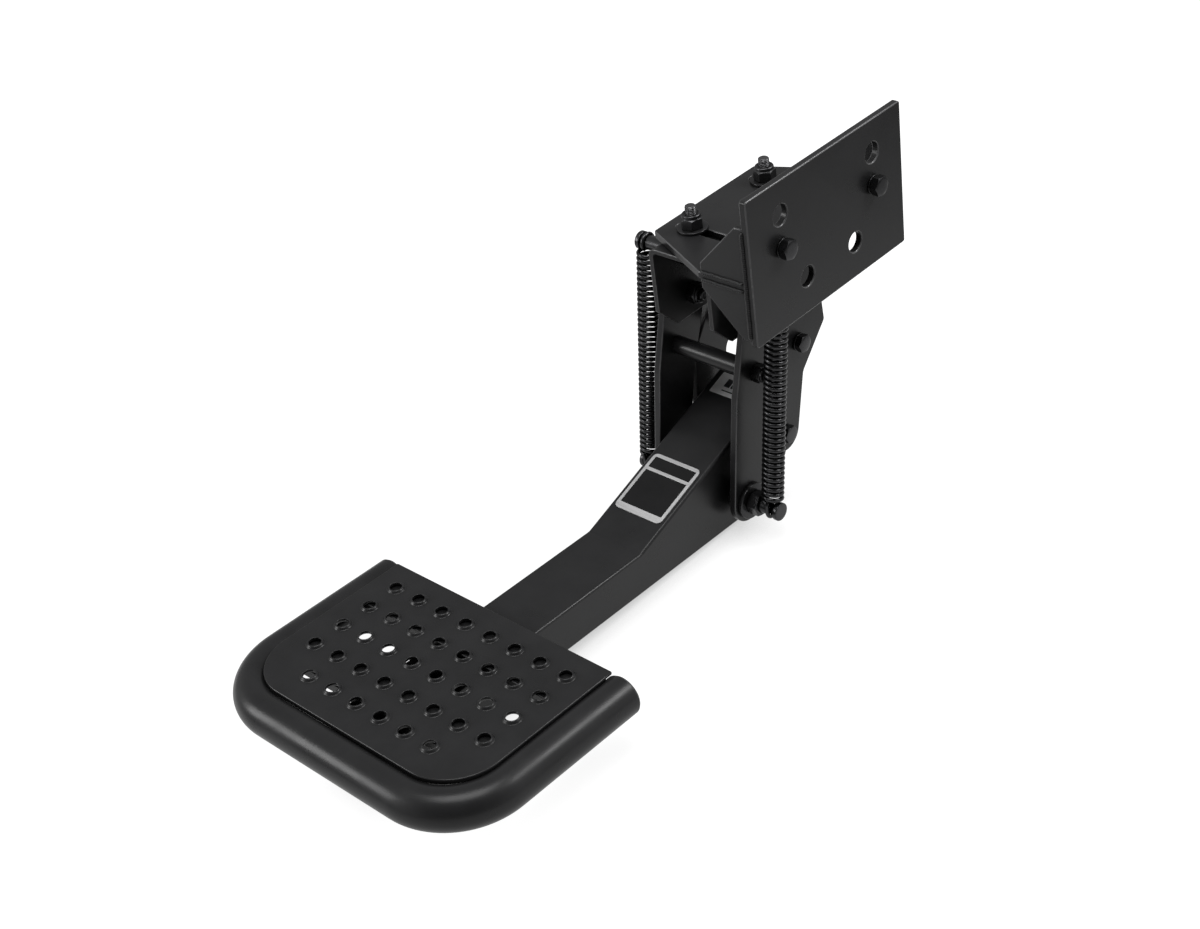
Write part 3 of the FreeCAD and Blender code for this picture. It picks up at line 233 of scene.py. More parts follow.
def make(name, vertices, faces, body, slot, replaces=(), material=None, sharp=35, bevel=0.0):
    """A mesh piece, given in millimetres, that rides on a body; bevels of coated pieces get a lighter coat, a painted
    edge highlight.
    """
    mesh = bpy.data.meshes.new(name)
    mesh.from_pydata([Vector(v) * MM for v in vertices], [], faces)
    mesh.update()
    build = bmesh.new()
    build.from_mesh(mesh)
    bmesh.ops.remove_doubles(build, verts=build.verts, dist=0.00001)
    bmesh.ops.recalc_face_normals(build, faces=build.faces)
    build.to_mesh(mesh)
    build.free()
    mesh.polygons.foreach_set("use_smooth", [True] * len(mesh.polygons))
    mesh.set_sharp_from_angle(angle=math.radians(sharp))
    piece = bpy.data.objects.new(name, mesh)
    bpy.context.scene.collection.objects.link(piece)
    mesh.materials.append(material or SLOT_MATERIALS[slot])
    if bevel and slot == "powder_coat":
        # the bevels get the lighter coat that paints an edge highlight
        mesh.materials.append(EDGE_HIGHLIGHT_COAT)
    soften(piece, bevel, sharp)
    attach(piece, body)
    if replaces:
        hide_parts(*replaces)
    return piece


def soften(piece, width, angle):
    """Rounds the edges sharper than an angle; wide ones pass the short sides of the outline's arcs unclamped."""
    if not width:
        return
    edges = piece.modifiers.new("edges", "BEVEL")
    edges.width = width * MM
    edges.segments = 2
    edges.limit_method = "ANGLE"
    edges.angle_limit = math.radians(angle)
    edges.use_clamp_overlap = width < WIDE_BEVEL
    edges.loop_slide = False
    if len(piece.data.materials) > 1:
        # the bevel faces take the second material, the lighter coat that paints an edge highlight
        edges.material = 1
    even = piece.modifiers.new("even", "WEIGHTED_NORMAL")
    even.keep_sharp = True
    even.weight = 80


class Batch:
    """Several shells that make one piece."""

    def __init__(self):
        self.vertices = []
        self.faces = []

    def add(self, vertices, faces):
        start = len(self.vertices)
        self.vertices += [Vector(v) for v in vertices]
        self.faces += [tuple(i + start for i in face) for face in faces]
        return self

    def moved(self, matrix):
        self.vertices = [matrix @ v for v in self.vertices]
        return self

    def make(self, name, body, slot, replaces=(), **more):
        return make(name, self.vertices, self.faces, body, slot, replaces, **more)


def grid_faces(rows, count, closed=False, wrap=True):
    """Faces between successive rows of vertices; closed joins the last row to the first, wrap each row's two ends."""
    faces = []
    for i in range(rows if closed else rows - 1):
        here, there = i * count, (i + 1) % rows * count
        for k in range(count if wrap else count - 1):
            n = (k + 1) % count
            faces.append((here + k, here + n, there + n, there + k))
    return faces


# Turned and hexagonal shapes: a ring is a list of (radius, distance along the axis), one for each angle

CORNER_ANGLES = (-1.8, 0, 1.8, 7, 13, 20, 30, 40, 47, 53)
ANGLES = [math.radians(60 * k + a) for k in range(6) for a in CORNER_ANGLES]
HEX_BLUNT = 0.985                    # corner radius of a hexagon over that of a sharp one
HEX_SLANT = math.radians(30)
HEX_FACE = 0.475                     # radius of a chamfered face over the width across flats


def round_ring(radius, along):
    return [(radius, along)] * len(ANGLES)


def hex_radius(flats, angle):
    """Radius of a hexagon with a corner at angle 0 and slightly blunted corners."""
    turn = (math.degrees(angle) + 30) % 60 - 30
    straight = flats / 2 / math.cos(math.radians(30 - abs(turn)))
    return min(straight, flats / math.sqrt(3) * HEX_BLUNT)


def cone_ring(flats, face, direction, circle=HEX_FACE):
    """The hexagon's outline where a cone trims it back from an end face."""
    ring = []
    for angle in ANGLES:
        radius = hex_radius(flats, angle)
        drop = max(0.0, radius - flats * circle) * math.tan(HEX_SLANT)
        ring.append((radius, face - direction * drop))
    return ring


def axis_frame(origin, axis, turn=0.0):
    """Two directions square to the axis; the first points up, or along X for an upright axis."""
    axis = Vector(axis).normalized()
    first = UP if abs(axis.z) < 0.9 else ACROSS
    first = (first - axis * first.dot(axis)).normalized()
    first = Quaternion(axis, math.radians(turn)) @ first
    return Vector(origin), axis, first, axis.cross(first)


def skin(rings, origin, axis, turn, closed=False):
    """Vertices and faces of a shell through the rings; its two ends are capped unless it closes on itself."""
    origin, axis, first, second = axis_frame(origin, axis, turn)
    vertices = []
    for ring in rings:
        for (radius, along), angle in zip(ring, ANGLES):
            outward = first * math.cos(angle) + second * math.sin(angle)
            vertices.append(origin + axis * along + outward * radius)
    count = len(ANGLES)
    faces = grid_faces(len(rings), count, closed=closed)
    if not closed:
        faces += [tuple(range(count)), tuple(range(len(vertices) - count, len(vertices)))]
    return vertices, faces


def turned(profile, origin, axis, closed=False):
    """A shell turned from (radius, along) pairs."""
    return skin([round_ring(radius, along) for radius, along in profile], origin, axis, 0, closed)


def arc_profile(centre_radius, centre_along, radius, start, end, steps=4):
    """Points of a small arc in a turned profile; angles in degrees from outward towards along."""
    points = []
    for i in range(steps + 1):
        angle = math.radians(start + (end - start) * i / steps)
        points.append((centre_radius + radius * math.cos(angle), centre_along + radius * math.sin(angle)))
    return points


def washer_shell(origin, axis, outer, inner, near, far, edge=0.4):
    profile = [(inner, near), (outer - edge, near)]
    profile += arc_profile(outer - edge, near + edge, edge, -90, 0)[1:]
    profile += arc_profile(outer - edge, far - edge, edge, 0, 90)
    profile += [(inner + edge, far), (inner, far - edge)]
    return turned(profile, origin, axis, closed=True)


def nut_shell(origin, axis, flats, bore, near, far, turn):
    """A plain nut between two distances, chamfered on both sides."""
    rings = [
        round_ring(bore, near), round_ring(flats * HEX_FACE, near), cone_ring(flats, near, -1),
        cone_ring(flats, far, 1), round_ring(flats * HEX_FACE, far), round_ring(bore + 0.8, far),
        round_ring(bore, far - 0.8)]
    return skin(rings, origin, axis, turn, closed=True)


def lock_nut_shell(origin, axis, flats, bore, near, height, collar, collar_radius, turn):
    """A lock nut: the hexagon sits at near and its rounded collar stands beyond it."""
    far = near + height
    top = far + collar
    rings = [round_ring(bore, near), round_ring(flats * HEX_FACE, near), cone_ring(flats, near, -1),
             cone_ring(flats, far, 1, 0.47)]
    profile = [(collar_radius, far + 0.1), (collar_radius, far + collar * 0.45)]
    profile += arc_profile(collar_radius - 1.8, top - 1.8, 1.8, 10, 90, 5)
    profile += [(bore + 1.6, top), (bore + 1.2, top - 0.5), (bore, top - 0.9)]
    rings += [round_ring(radius, along) for radius, along in profile]
    return skin(rings, origin, axis, turn, closed=True)


def head_shell(origin, axis, flats, near, height, turn, dome=0.25):
    """A hexagonal bolt head with a trimmed, slightly crowned top and a thin washer face below."""
    far = near + height
    top = flats * 0.46
    rings = [round_ring(top, near), round_ring(flats * 0.47, near + 0.3), cone_ring(flats, near + 0.3, -1),
             cone_ring(flats, far - dome, 1, 0.47), round_ring(top, far - dome)]
    rings += [round_ring(top * 0.75, far - dome * 0.4), round_ring(top * 0.4, far - dome * 0.1), round_ring(0.6, far)]
    return skin(rings, origin, axis, turn)


def thread_shell(origin, axis, radius, near, far, pitch=1.75):
    """A threaded rod between two distances, with a rounded far end."""
    origin, axis, first, second = axis_frame(origin, axis)
    depth = pitch * 0.5
    sides = 40
    rows = max(4, round((far - near) / pitch * 8))
    end = 1.4
    vertices = []
    for i in range(rows + 1):
        along = near + (far - near) * i / rows
        limit = radius - max(0.0, along - (far - end)) ** 2 / end * 0.9
        for k in range(sides):
            angle = 2 * math.pi * k / sides
            phase = (along / pitch - k / sides) % 1
            ridge = 1 - abs(2 * phase - 1)
            ridge = min(1.0, max(0.0, ridge * 1.35 - 0.15))
            local = min(radius - depth + depth * ridge, limit)
            outward = first * math.cos(angle) + second * math.sin(angle)
            vertices.append(origin + axis * along + outward * local)
    for share, sunk in ((0.75, 0.2), (0.4, 0.03)):
        for k in range(sides):
            angle = 2 * math.pi * k / sides
            outward = first * math.cos(angle) + second * math.sin(angle)
            vertices.append(origin + axis * (far - sunk) + outward * (radius - 1.1) * share)
    faces = grid_faces(rows + 3, sides)
    faces += [tuple(range(sides)), tuple(range(len(vertices) - sides, len(vertices)))]
    return vertices, faces


# Flat plates: an outline and its holes, with smooth arcs

def rounded(corners, step=9):
    """Points round corners given as (u, v, radius), with about one point for each step of degrees."""
    points = []
    count = len(corners)
    for i, (u, v, radius) in enumerate(corners):
        here = Vector((u, v))
        if radius <= 0:
            points.append(here)
            continue
        back = (Vector(corners[i - 1][:2]) - here).normalized()
        ahead = (Vector(corners[(i + 1) % count][:2]) - here).normalized()
        half = back.angle(ahead) / 2
        centre = here + (back + ahead).normalized() * (radius / math.sin(half))
        first = here + back * (radius / math.tan(half)) - centre
        last = here + ahead * (radius / math.tan(half)) - centre
        whole = math.atan2(first.x * last.y - first.y * last.x, first.dot(last))
        steps = max(2, round(abs(math.degrees(whole)) / step))
        for k in range(steps + 1):
            turn = whole * k / steps
            points.append(centre + Vector((first.x * math.cos(turn) - first.y * math.sin(turn),
                                           first.x * math.sin(turn) + first.y * math.cos(turn))))
    return points


def rectangle(left, right, low, high, corner):
    return rounded([(left, low, corner), (right, low, corner), (right, high, corner), (left, high, corner)])


def circle(u, v, diameter, steps=48):
    return [Vector((u + diameter / 2 * math.cos(2 * math.pi * k / steps),
                    v + diameter / 2 * math.sin(2 * math.pi * k / steps))) for k in range(steps)]


def slot_outline(u, v, length, width):
    """A slot along u about its centre."""
    steps = 12
    reach = (length - width) / 2
    points = []
    for side in (1, -1):
        for k in range(steps + 1):
            angle = math.radians(-90 + 180 * k / steps) + (0 if side > 0 else math.pi)
            points.append(Vector((u + side * reach + width / 2 * math.cos(angle), v + width / 2 * math.sin(angle))))
    return points


def spans(loops):
    """Faces over the first loop less the others, for all their points at one level and then at another."""
    count = sum(len(loop) for loop in loops)
    faces = []
    for a, b, c in tessellate_polygon([[Vector((p.x, p.y, 0)) for p in loop] for loop in loops]):
        faces += [(a, b, c), (c + count, b + count, a + count)]
    return faces


def slab(outline, holes, near, far, to_space, open_sides=()):
    """A plate between two levels; to_space gives a point for (u, v, level), open_sides get no wall."""
    loops = [outline, *holes]
    vertices = [to_space(p.x, p.y, level) for level in (near, far) for loop in loops for p in loop]
    faces = spans(loops)
    count = len(vertices) // 2
    start = 0
    for loop in loops:
        for k in range(len(loop)):
            if loop is not outline or k not in open_sides:
                a, b = start + k, start + (k + 1) % len(loop)
                faces.append((a, b, b + count, a + count))
        start += len(loop)
    return vertices, faces


def across(u, v, level):
    return Vector((level, u, v))


def level_with(u, v, level):
    return Vector((u, v, level))


# Sweeps along a path

def frames_along(points, reference):
    """Directions square to a path, carried along it without twist."""
    frames = []
    reference = Vector(reference)
    for i, point in enumerate(points):
        ahead = (points[min(i + 1, len(points) - 1)] - points[max(i - 1, 0)]).normalized()
        reference = (reference - ahead * reference.dot(ahead)).normalized()
        frames.append((point, reference.copy(), ahead.cross(reference)))
    return frames


def tube(points, radius, sides, reference=(1, 0, 0), ends=True):
    vertices = []
    for point, first, second in frames_along(points, reference):
        for k in range(sides):
            angle = 2 * math.pi * k / sides
            vertices.append(point + (first * math.cos(angle) + second * math.sin(angle)) * radius)
    faces = grid_faces(len(points), sides)
    if ends:
        faces += [tuple(range(sides)), tuple(range(len(vertices) - sides, len(vertices)))]
    return vertices, faces


# Fasteners: radii of the shanks, then the sizes of an M12 head and lock nut

M12 = 6
M14 = 7
M16 = 8
HEAD_FLATS = 18
HEAD_HEIGHT = 8
NUT_FLATS = 21
NUT_HEIGHT = 10.5
COLLAR = 3.5
COLLAR_RADIUS = 10


def make_pair(batch, name, body="bracket", slot="black_fastener", bevel=FASTENER_EDGE, plural="s"):
    """The fasteners of one kind on both sides, in place of the node with the plural name."""
    batch.make(f"{name}_pair", body, slot, [name + plural], bevel=bevel)


def hang_fasteners():
    bolts, washers, nuts = Batch(), Batch(), Batch()
    under = SHELF_TOP - SHELF_UNDER + CHANNEL_OUTER - CHANNEL_INNER
    for side, turn in ((-1, 12), (1, 40)):
        place = Vector((CENTRE + HANGER_OFFSET, side * HANGER_REACH, SHELF_TOP))
        bolts.add(*head_shell(place, -UP, HEAD_FLATS, under, HEAD_HEIGHT, 15))
        bolts.add(*turned([(M12, -under - 0.1), (M12, 7)], place, UP))
        bolts.add(*thread_shell(place, UP, M12, 6, 27))
        washers.add(*washer_shell(place, UP, 16.4, 6.3, 0, 3, 0.6))
        nuts.add(*lock_nut_shell(place, UP, 21.5, 6.1, 3, 11.5, 4, 10.2, turn))
    make_pair(bolts, "hanger_bolt", slot="zinc_thread", bevel=0.2)
    make_pair(washers, "hanger_washer", bevel=0)
    make_pair(nuts, "hanger_nut")


def chassis_fasteners():
    bolts, washers, nuts = Batch(), Batch(), Batch()
    for side, turn in ((-1, 14), (1, 24)):
        place = Vector((0, side * UPPER_HOLES, CHASSIS_LEVEL))
        bolts.add(*head_shell(place, ACROSS, 19.5, 2, 9.5, turn))
        bolts.add(*turned([(M14, 3.1), (M14, -18)], place, ACROSS))
        bolts.add(*thread_shell(place, -ACROSS, M14, 17, 25, 2.0))
        washers.add(*washer_shell(place, ACROSS, 10.6, M14 + 0.2, 0, 2, 0.5))
        nuts.add(*nut_shell(place, -ACROSS, 22, M14 + 0.1, -PLATE_BACK, 19, turn))
    make_pair(bolts, "chassis_bolt")
    make_pair(washers, "chassis_washer", bevel=0)
    make_pair(nuts, "chassis_nut")


def inner_nut(batch, place, side, seat, turn):
    """A lock nut that points towards the centre plane from its seat."""
    batch.add(*lock_nut_shell(place, ACROSS * -side, NUT_FLATS, M12 + 0.1, -seat, NUT_HEIGHT, COLLAR, COLLAR_RADIUS,
                              turn))


def inward_bolt(batch, place, side, head_at, seat, turn):
    """A bolt through a side: head outside at head_at, threaded tail inside beyond the nut."""
    axis = ACROSS * side
    batch.add(*head_shell(place, axis, HEAD_FLATS, head_at, HEAD_HEIGHT, turn))
    batch.add(*turned([(M12, seat - 15), (M12, head_at + 0.1)], place, axis))
    batch.add(*thread_shell(place, -axis, M12, 14.9 - seat, 17 - seat))


def pivot_fasteners():
    for label, place, turns in (("front", FRONT_UPPER, (8, 22)), ("rear", REAR_UPPER, (35, 17))):
        bolts, bushes, nuts = Batch(), Batch(), Batch()
        for side, turn in zip((-1, 1), turns):
            inward_bolt(bolts, place, side, LINK_OUTER + 0.2, CHANNEL_INNER, turn)
            bushes.add(*washer_shell(place, ACROSS * side, 11, M12 + 0.1, CHANNEL_OUTER, LINK_INNER - 0.2))
            inner_nut(nuts, place, side, CHANNEL_INNER, turn + 10)
        make_pair(bolts, f"{label}_pivot_bolt")
        make_pair(bushes, f"{label}_pivot_bush", bevel=0, plural="es")
        make_pair(nuts, f"{label}_pivot_nut")


def pin_end(batch, place, side, start, end):
    """A grooved rod end with its disc, from a start to an end distance."""
    groove, disc = SPRING_OUT[side] - 2.6, end - 5.2
    profile = [(M16, start), (M16, groove - 0.8)] + arc_profile(M16 - 0.4, groove - 0.8, 0.4, 0, 90, 3)[1:]
    profile += [(5.9, groove), (5.9, disc - 0.4), (9.4, disc)] + arc_profile(9.4, disc + 0.7, 0.7, -90, 0, 3)[1:]
    profile += arc_profile(9.2, disc + 4.3, 0.9, 0, 90) + [(5, disc + 5.2), (0.4, disc + 5.2)]
    batch.add(*turned(profile, place, ACROSS * side))


def spring_pins():
    pins, nuts = Batch(), Batch()
    for side in (-1, 1):
        axis = ACROSS * side
        pin_end(pins, SPRING_UPPER, side, CHANNEL_OUTER, 95)
        pins.add(*turned([(M12, 19), (M12, CHANNEL_OUTER + 0.1)], SPRING_UPPER, axis))
        pins.add(*thread_shell(SPRING_UPPER, -axis, M12, -19.1, -17))
        inner_nut(nuts, SPRING_UPPER, side, CHANNEL_INNER, 15)
    pins.make("spring_pin_pair", "bracket", "black_fastener", ["upper_spring_pins"])
    make_pair(nuts, "spring_pin_nut")


def spacer_fasteners(label, place, head_side, body, head_turn, nut_turn):
    axis = ACROSS * head_side
    seat = LINK_OUTER + 3
    bolt = Batch().add(*head_shell(place, axis, HEAD_FLATS, seat, HEAD_HEIGHT, head_turn, 0.7))
    bolt.add(*turned([(M12, -LINK_OUTER - 14), (M12, seat + 0.1)], place, axis))
    bolt.add(*thread_shell(place, -axis, M12, LINK_OUTER + 13.9, LINK_OUTER + 17))
    bolt.make(f"{label}_spacer_bolt_piece", body, "black_fastener", [f"{label}_spacer_bolt"], bevel=FASTENER_EDGE)
    washer = washer_shell(place, axis, 10, M12 + 0.1, LINK_OUTER, seat, 0.5)
    make(f"{label}_spacer_washer_piece", *washer, body, "black_fastener", [f"{label}_spacer_washer"])
    nut = lock_nut_shell(place, -axis, 18.5, M12 + 0.1, LINK_OUTER, NUT_HEIGHT, COLLAR, 8.8, nut_turn)
    make(f"{label}_spacer_nut_piece", *nut, body, "black_fastener", [f"{label}_spacer_nut"], bevel=FASTENER_EDGE)
    section = [(6.2, -LINK_INNER), (10, -LINK_INNER), (10, LINK_INNER), (6.2, LINK_INNER)]
    pipe = turned(section, place, ACROSS, closed=True)
    make(f"{label}_spacer_pipe", *pipe, body, "powder_coat", [f"{label}_spacer_tube"])


def axle_fasteners():
    axle, washers, nuts = Batch(), Batch(), Batch()
    shank, seat = LINK_OUTER + 3, LINK_OUTER + 5
    axle.add(*turned([(M16, -shank), (M16, shank)], FRONT_LOWER, ACROSS))
    for side in (-1, 1):
        axis = ACROSS * side
        pin_end(axle, FRONT_LOWER, side, shank, 96.5 + 3 * side)
        washers.add(*washer_shell(FRONT_LOWER, axis, 20.5, M16 + 0.1, LINK_OUTER, seat, 0.9))
        nuts.add(*nut_shell(FRONT_LOWER, axis, 24, M16 + 0.1, seat, seat + 13, 20))
    axle.make("lower_axle_rod", "front_links", "black_fastener", ["lower_axle"])
    make_pair(washers, "axle_washer", "front_links", bevel=0)
    make_pair(nuts, "axle_nut", "front_links")


def rear_lower_fasteners():
    bolts, nuts = Batch(), Batch()
    seat = ARM_INNER - 0.2
    for side, turn in ((-1, 5), (1, 25)):
        inward_bolt(bolts, REAR_LOWER, side, LINK_OUTER, seat, turn)
        inner_nut(nuts, REAR_LOWER, side, seat, turn)
    make_pair(bolts, "rear_lower_bolt", "rear_links")
    make_pair(nuts, "rear_lower_nut", "rear_links")


# Bracket

def mount_plate():
    outline = rectangle(-PLATE_HALF, PLATE_HALF, PLATE_BOTTOM, PLATE_TOP, 3)
    holes = []
    for side in (-1, 1):
        holes += [circle(side * UPPER_HOLES, 0, 22), circle(side * LOWER_HOLES, LOWER_HOLE_LEVEL, 22),
                  circle(side * UPPER_HOLES, CHASSIS_LEVEL, 14.4)]
    make("mount_plate_sheet", *slab(outline, holes, PLATE_BACK, 0, across), "bracket", "powder_coat",
         ["mount_plate"], bevel=1.2)


def shelf():
    square, far = PLATE_BACK - 60, PLATE_BACK - 154
    outline = rounded([(PLATE_BACK, -PLATE_HALF, 0), (PLATE_BACK, PLATE_HALF, 0), (square, PLATE_HALF, 4),
                       (far, 82.5, 4), (far, -82.5, 4), (square, -PLATE_HALF, 4)])
    holes = [slot_outline(PLATE_BACK - 99, side * HANGER_REACH, 84, 13) for side in (-1, 1)]
    make("shelf_sheet", *slab(outline, holes, SHELF_UNDER, SHELF_TOP, level_with), "bracket", "powder_coat",
         ["shelf_plate"], bevel=1.0)


def gussets():
    """Two triangles above the shelf and two below, each with a blunt tip at both ends."""
    land = PLATE_BACK - 9
    for label, seam, tip, end in (("upper", SHELF_TOP, SHELF_TOP + 10, GUSSET_TOP),
                                  ("lower", SHELF_UNDER, SHELF_UNDER - 10, GUSSET_BOTTOM)):
        corners = [(PLATE_BACK, seam, 0), (GUSSET_REACH, seam, 0), (GUSSET_REACH, tip, 2), (land, end, 2),
                   (PLATE_BACK, end, 0)]
        pair = Batch()
        for near, far in ((-PLATE_HALF, GUSSET_SHEET - PLATE_HALF), (PLATE_HALF - GUSSET_SHEET, PLATE_HALF)):
            pair.add(*slab(rounded(corners), [], near, far, lambda u, v, level: Vector((u, level, v))))
        pair.make(f"{label}_gusset_pair", "bracket", "powder_coat", [f"{label}_gussets"], bevel=1.1)


def bead(start, end, outward, radius, seed):
    """A rippled weld bead, half buried in the seam that it runs along; seed shifts its small wanderings."""
    start, end, outward = Vector(start), Vector(end), Vector(outward).normalized()
    ahead = (end - start).normalized()
    sideways = ahead.cross(outward)
    length = (end - start).length
    rows = round(length / 0.28)
    arcs = 12
    ripple = 2.2
    vertices = []
    for i in range(rows + 1):
        along = length * i / rows
        close = min(along, length - along)
        fade = math.sqrt(max(0.0, min(1.0, close / 2.2)))
        wander = 0.16 * math.sin(along * 0.31 + seed) + 0.1 * math.sin(along * 0.83 + 2 * seed)
        for k in range(arcs + 1):
            angle = math.pi * k / arcs
            bow = 0.9 * (1 - math.cos(angle - math.pi / 2))
            phase = (along + bow + 0.25 * math.sin(along * 0.57 + seed)) / ripple
            wave = abs(math.sin(math.pi * phase))
            local = (radius - 0.38 + 0.38 * wave) * fade
            vertices.append(start + ahead * along + outward * (local * math.sin(angle) * 0.96)
                            + sideways * (local * math.cos(angle) + wander * fade))
    return vertices, grid_faces(rows + 1, arcs + 1, wrap=False)


def welds():
    beads = Batch()
    radius = 2.5
    for side in (-1, 1):
        face = side * PLATE_HALF
        outward = (0, side, 0)
        for start, end, seed in (
                ((GUSSET_REACH, face, SHELF_TOP), (PLATE_BACK - radius, face, SHELF_TOP), 0.4),
                ((GUSSET_REACH, face, SHELF_UNDER), (PLATE_BACK - radius, face, SHELF_UNDER), 1.7),
                ((PLATE_BACK, face, GUSSET_BOTTOM + 3), (PLATE_BACK, face, GUSSET_TOP - 3), 2.9)):
            beads.add(*bead(start, end, outward, radius, seed + side))
    beads.make("weld_runs", "bracket", "powder_coat", ["weld_beads"], sharp=60)


def hanger():
    """The folded channel, open downwards, with its bends, holes and cut corners."""
    front, rear = -103.0, 82.0
    top, bottom = SHELF_UNDER, SHELF_UNDER - 102
    sheet = CHANNEL_OUTER - CHANNEL_INNER
    bend = 9
    flat_half = CHANNEL_OUTER - bend
    bend_bottom = top - bend
    cut = 27
    steps = 6
    arcs = [[(flat_half + radius * math.sin(math.radians(90 * k / steps)),
              bend_bottom + radius * math.cos(math.radians(90 * k / steps))) for k in range(steps + 1)]
            for radius in (bend, bend - sheet)]
    holes = [circle(p.y, p.z, 12.4) for p in (FRONT_UPPER, REAR_UPPER, SPRING_UPPER)]
    outline = [Vector(p) for p in ((front, bend_bottom), (front, bottom + cut), (front + cut, bottom),
                                   (rear - cut, bottom), (rear, bottom + cut), (rear, bend_bottom))]
    shell = Batch()
    for side in (-1, 1):
        shell.add(*slab(outline, holes, CHANNEL_INNER, CHANNEL_OUTER,
                        lambda u, v, level: Vector((CENTRE + side * level, u, v)), open_sides=(len(outline) - 1,)))
        for y in (front, rear):
            section = [Vector((CENTRE + side * x, y, z)) for x, z in arcs[0] + arcs[1][::-1]]
            last = len(section) - 1
            shell.add(section, [(i, i + 1, last - 1 - i, last - i) for i in range(steps)])
        for chain in arcs:
            strip = [Vector((CENTRE + side * x, y, z)) for y in (front, rear) for x, z in chain]
            shell.add(strip, grid_faces(2, steps + 1, wrap=False))
    web = [Vector(p) for p in ((-flat_half, front), (flat_half, front), (flat_half, rear), (-flat_half, rear))]
    web_holes = [circle(HANGER_OFFSET, side * HANGER_REACH, 12.4) for side in (-1, 1)]
    shell.add(*slab(web, web_holes, top - sheet, top, lambda u, v, level: Vector((CENTRE + u, v, level)),
                    open_sides=(1, 3)))
    shell.make("hanger_fold", "bracket", "powder_coat", ["hanger_channel"], bevel=0.7)


# Links

def tangent(centre, radius, point, side):
    """Where a line from a point touches a circle; side picks one of the two tangents."""
    away = point - centre
    angle = side * math.acos(radius / away.length)
    direction = away.normalized() * radius
    return centre + Vector((direction.x * math.cos(angle) - direction.y * math.sin(angle),
                            direction.x * math.sin(angle) + direction.y * math.cos(angle)))


def sweep(centre, start, end):
    """Points round a centre, anticlockwise from one point to another."""
    first = math.atan2(start.y - centre.y, start.x - centre.x)
    turn = (math.atan2(end.y - centre.y, end.x - centre.x) - first) % (2 * math.pi)
    steps = round(math.degrees(turn) / 8)
    radius = (start - centre).length
    return [centre + Vector((math.cos(first + turn * k / steps), math.sin(first + turn * k / steps))) * radius
            for k in range(steps + 1)]


def link_outline(lower, low_radius, upper, high_radius, rear, front):
    """Round ends joined by a rear edge, given upwards, and a front edge, given downwards, as (y, z, radius)."""
    lower, upper = Vector(lower), Vector(upper)
    low_front = tangent(lower, low_radius, Vector(front[-1][:2]), 1)
    low_rear = tangent(lower, low_radius, Vector(rear[0][:2]), -1)
    high_rear = tangent(upper, high_radius, Vector(rear[-1][:2]), 1)
    high_front = tangent(upper, high_radius, Vector(front[0][:2]), -1)
    bottom = [(p.x, p.y, 0) for p in sweep(lower, low_front, low_rear)]
    top = [(p.x, p.y, 0) for p in sweep(upper, high_rear, high_front)]
    return rounded(bottom + list(rear) + top + list(front))


def links():
    front = link_outline((FRONT_LOWER.y, FRONT_LOWER.z), 25, (FRONT_UPPER.y, FRONT_UPPER.z), 25,
                         [(-43, -243, 16), (-20, -180, 10)], [(-99.1, -220.5, 30)])
    rear = link_outline((REAR_LOWER.y, REAR_LOWER.z), 22, (REAR_UPPER.y, REAR_UPPER.z), 25,
                        [(12.6, -243.5, 12), (54.2, -200, 5)], [(-3.5, -173, 20), (-40.5, -227, 20)])
    bores = {
        "front": (front, ((FRONT_UPPER, 12.1), (FRONT_LOWER, 16.4), (FRONT_SPACER, 12.4))),
        "rear": (rear, ((REAR_UPPER, 12.1), (REAR_LOWER, 12.4), (REAR_SPACER, 12.4))),
    }
    for label, (outline, places) in bores.items():
        holes = [circle(p.y, p.z, diameter) for p, diameter in places]
        for side, hand in ((-1, "left"), (1, "right")):
            near, far = sorted((CENTRE + side * LINK_INNER, CENTRE + side * LINK_OUTER))
            make(f"{label}_link_plate_{hand}", *slab(outline, holes, near, far, across), f"{label}_links",
                 "powder_coat", [f"{label}_link_{hand}"], bevel=1.0)


# Arm and pad, in the arm's frame

PAD_HALF = 150.5
PAD_REAR = -322.0
PAD_FRONT = -530.5
PAD_TOP = 25.0
PAD_SHEET = 2.0
LIP_GAP = 9.5
TUBE_RADIUS = 21.2
TUBE_BORE = 18.6
TUBE_OUT = 161.3
TUBE_HEIGHT = 2.7
TUBE_FRONT = PAD_FRONT - 13.1
TUBE_BEND = 67.5


def grip_places():
    places = []
    for row in range(5):
        for column in range(8):
            if row < 4 or column not in (0, 7):
                places.append((CENTRE + (column - 3.5) * 34, PAD_REAR - 30.5 - row * 36))
    return places


def tread_outline(inset):
    """The tread's outline, moved inwards; each side has a pair of points where its turned-down edge ends."""
    left, right = CENTRE - PAD_HALF + inset, CENTRE + PAD_HALF - inset
    rear, front = PAD_REAR - inset, PAD_FRONT + inset
    lip_end = PAD_REAR - LIP_GAP
    return rounded([
        (left, rear, 2.1 - inset), (left, lip_end + 0.1, 0), (left, lip_end - 0.1, 0), (left, front, 56 - inset),
        (right, front, 56 - inset), (right, lip_end - 0.1, 0), (right, lip_end + 0.1, 0),
        (right, rear, 2.1 - inset)], 4)


def over_rim(point):
    """Height of the rim tube's surface above or below a point of the tread, in the arm's frame."""
    aside = abs(point.x - CENTRE)
    bend_x, bend_y = TUBE_OUT - TUBE_BEND, TUBE_FRONT + TUBE_BEND
    if point.y > bend_y:
        away = abs(aside - TUBE_OUT)
    elif aside < bend_x:
        away = abs(point.y - TUBE_FRONT)
    else:
        away = abs(math.hypot(aside - bend_x, point.y - bend_y) - TUBE_BEND)
    return TUBE_HEIGHT + math.sqrt(max(0.0, TUBE_RADIUS ** 2 - away ** 2))


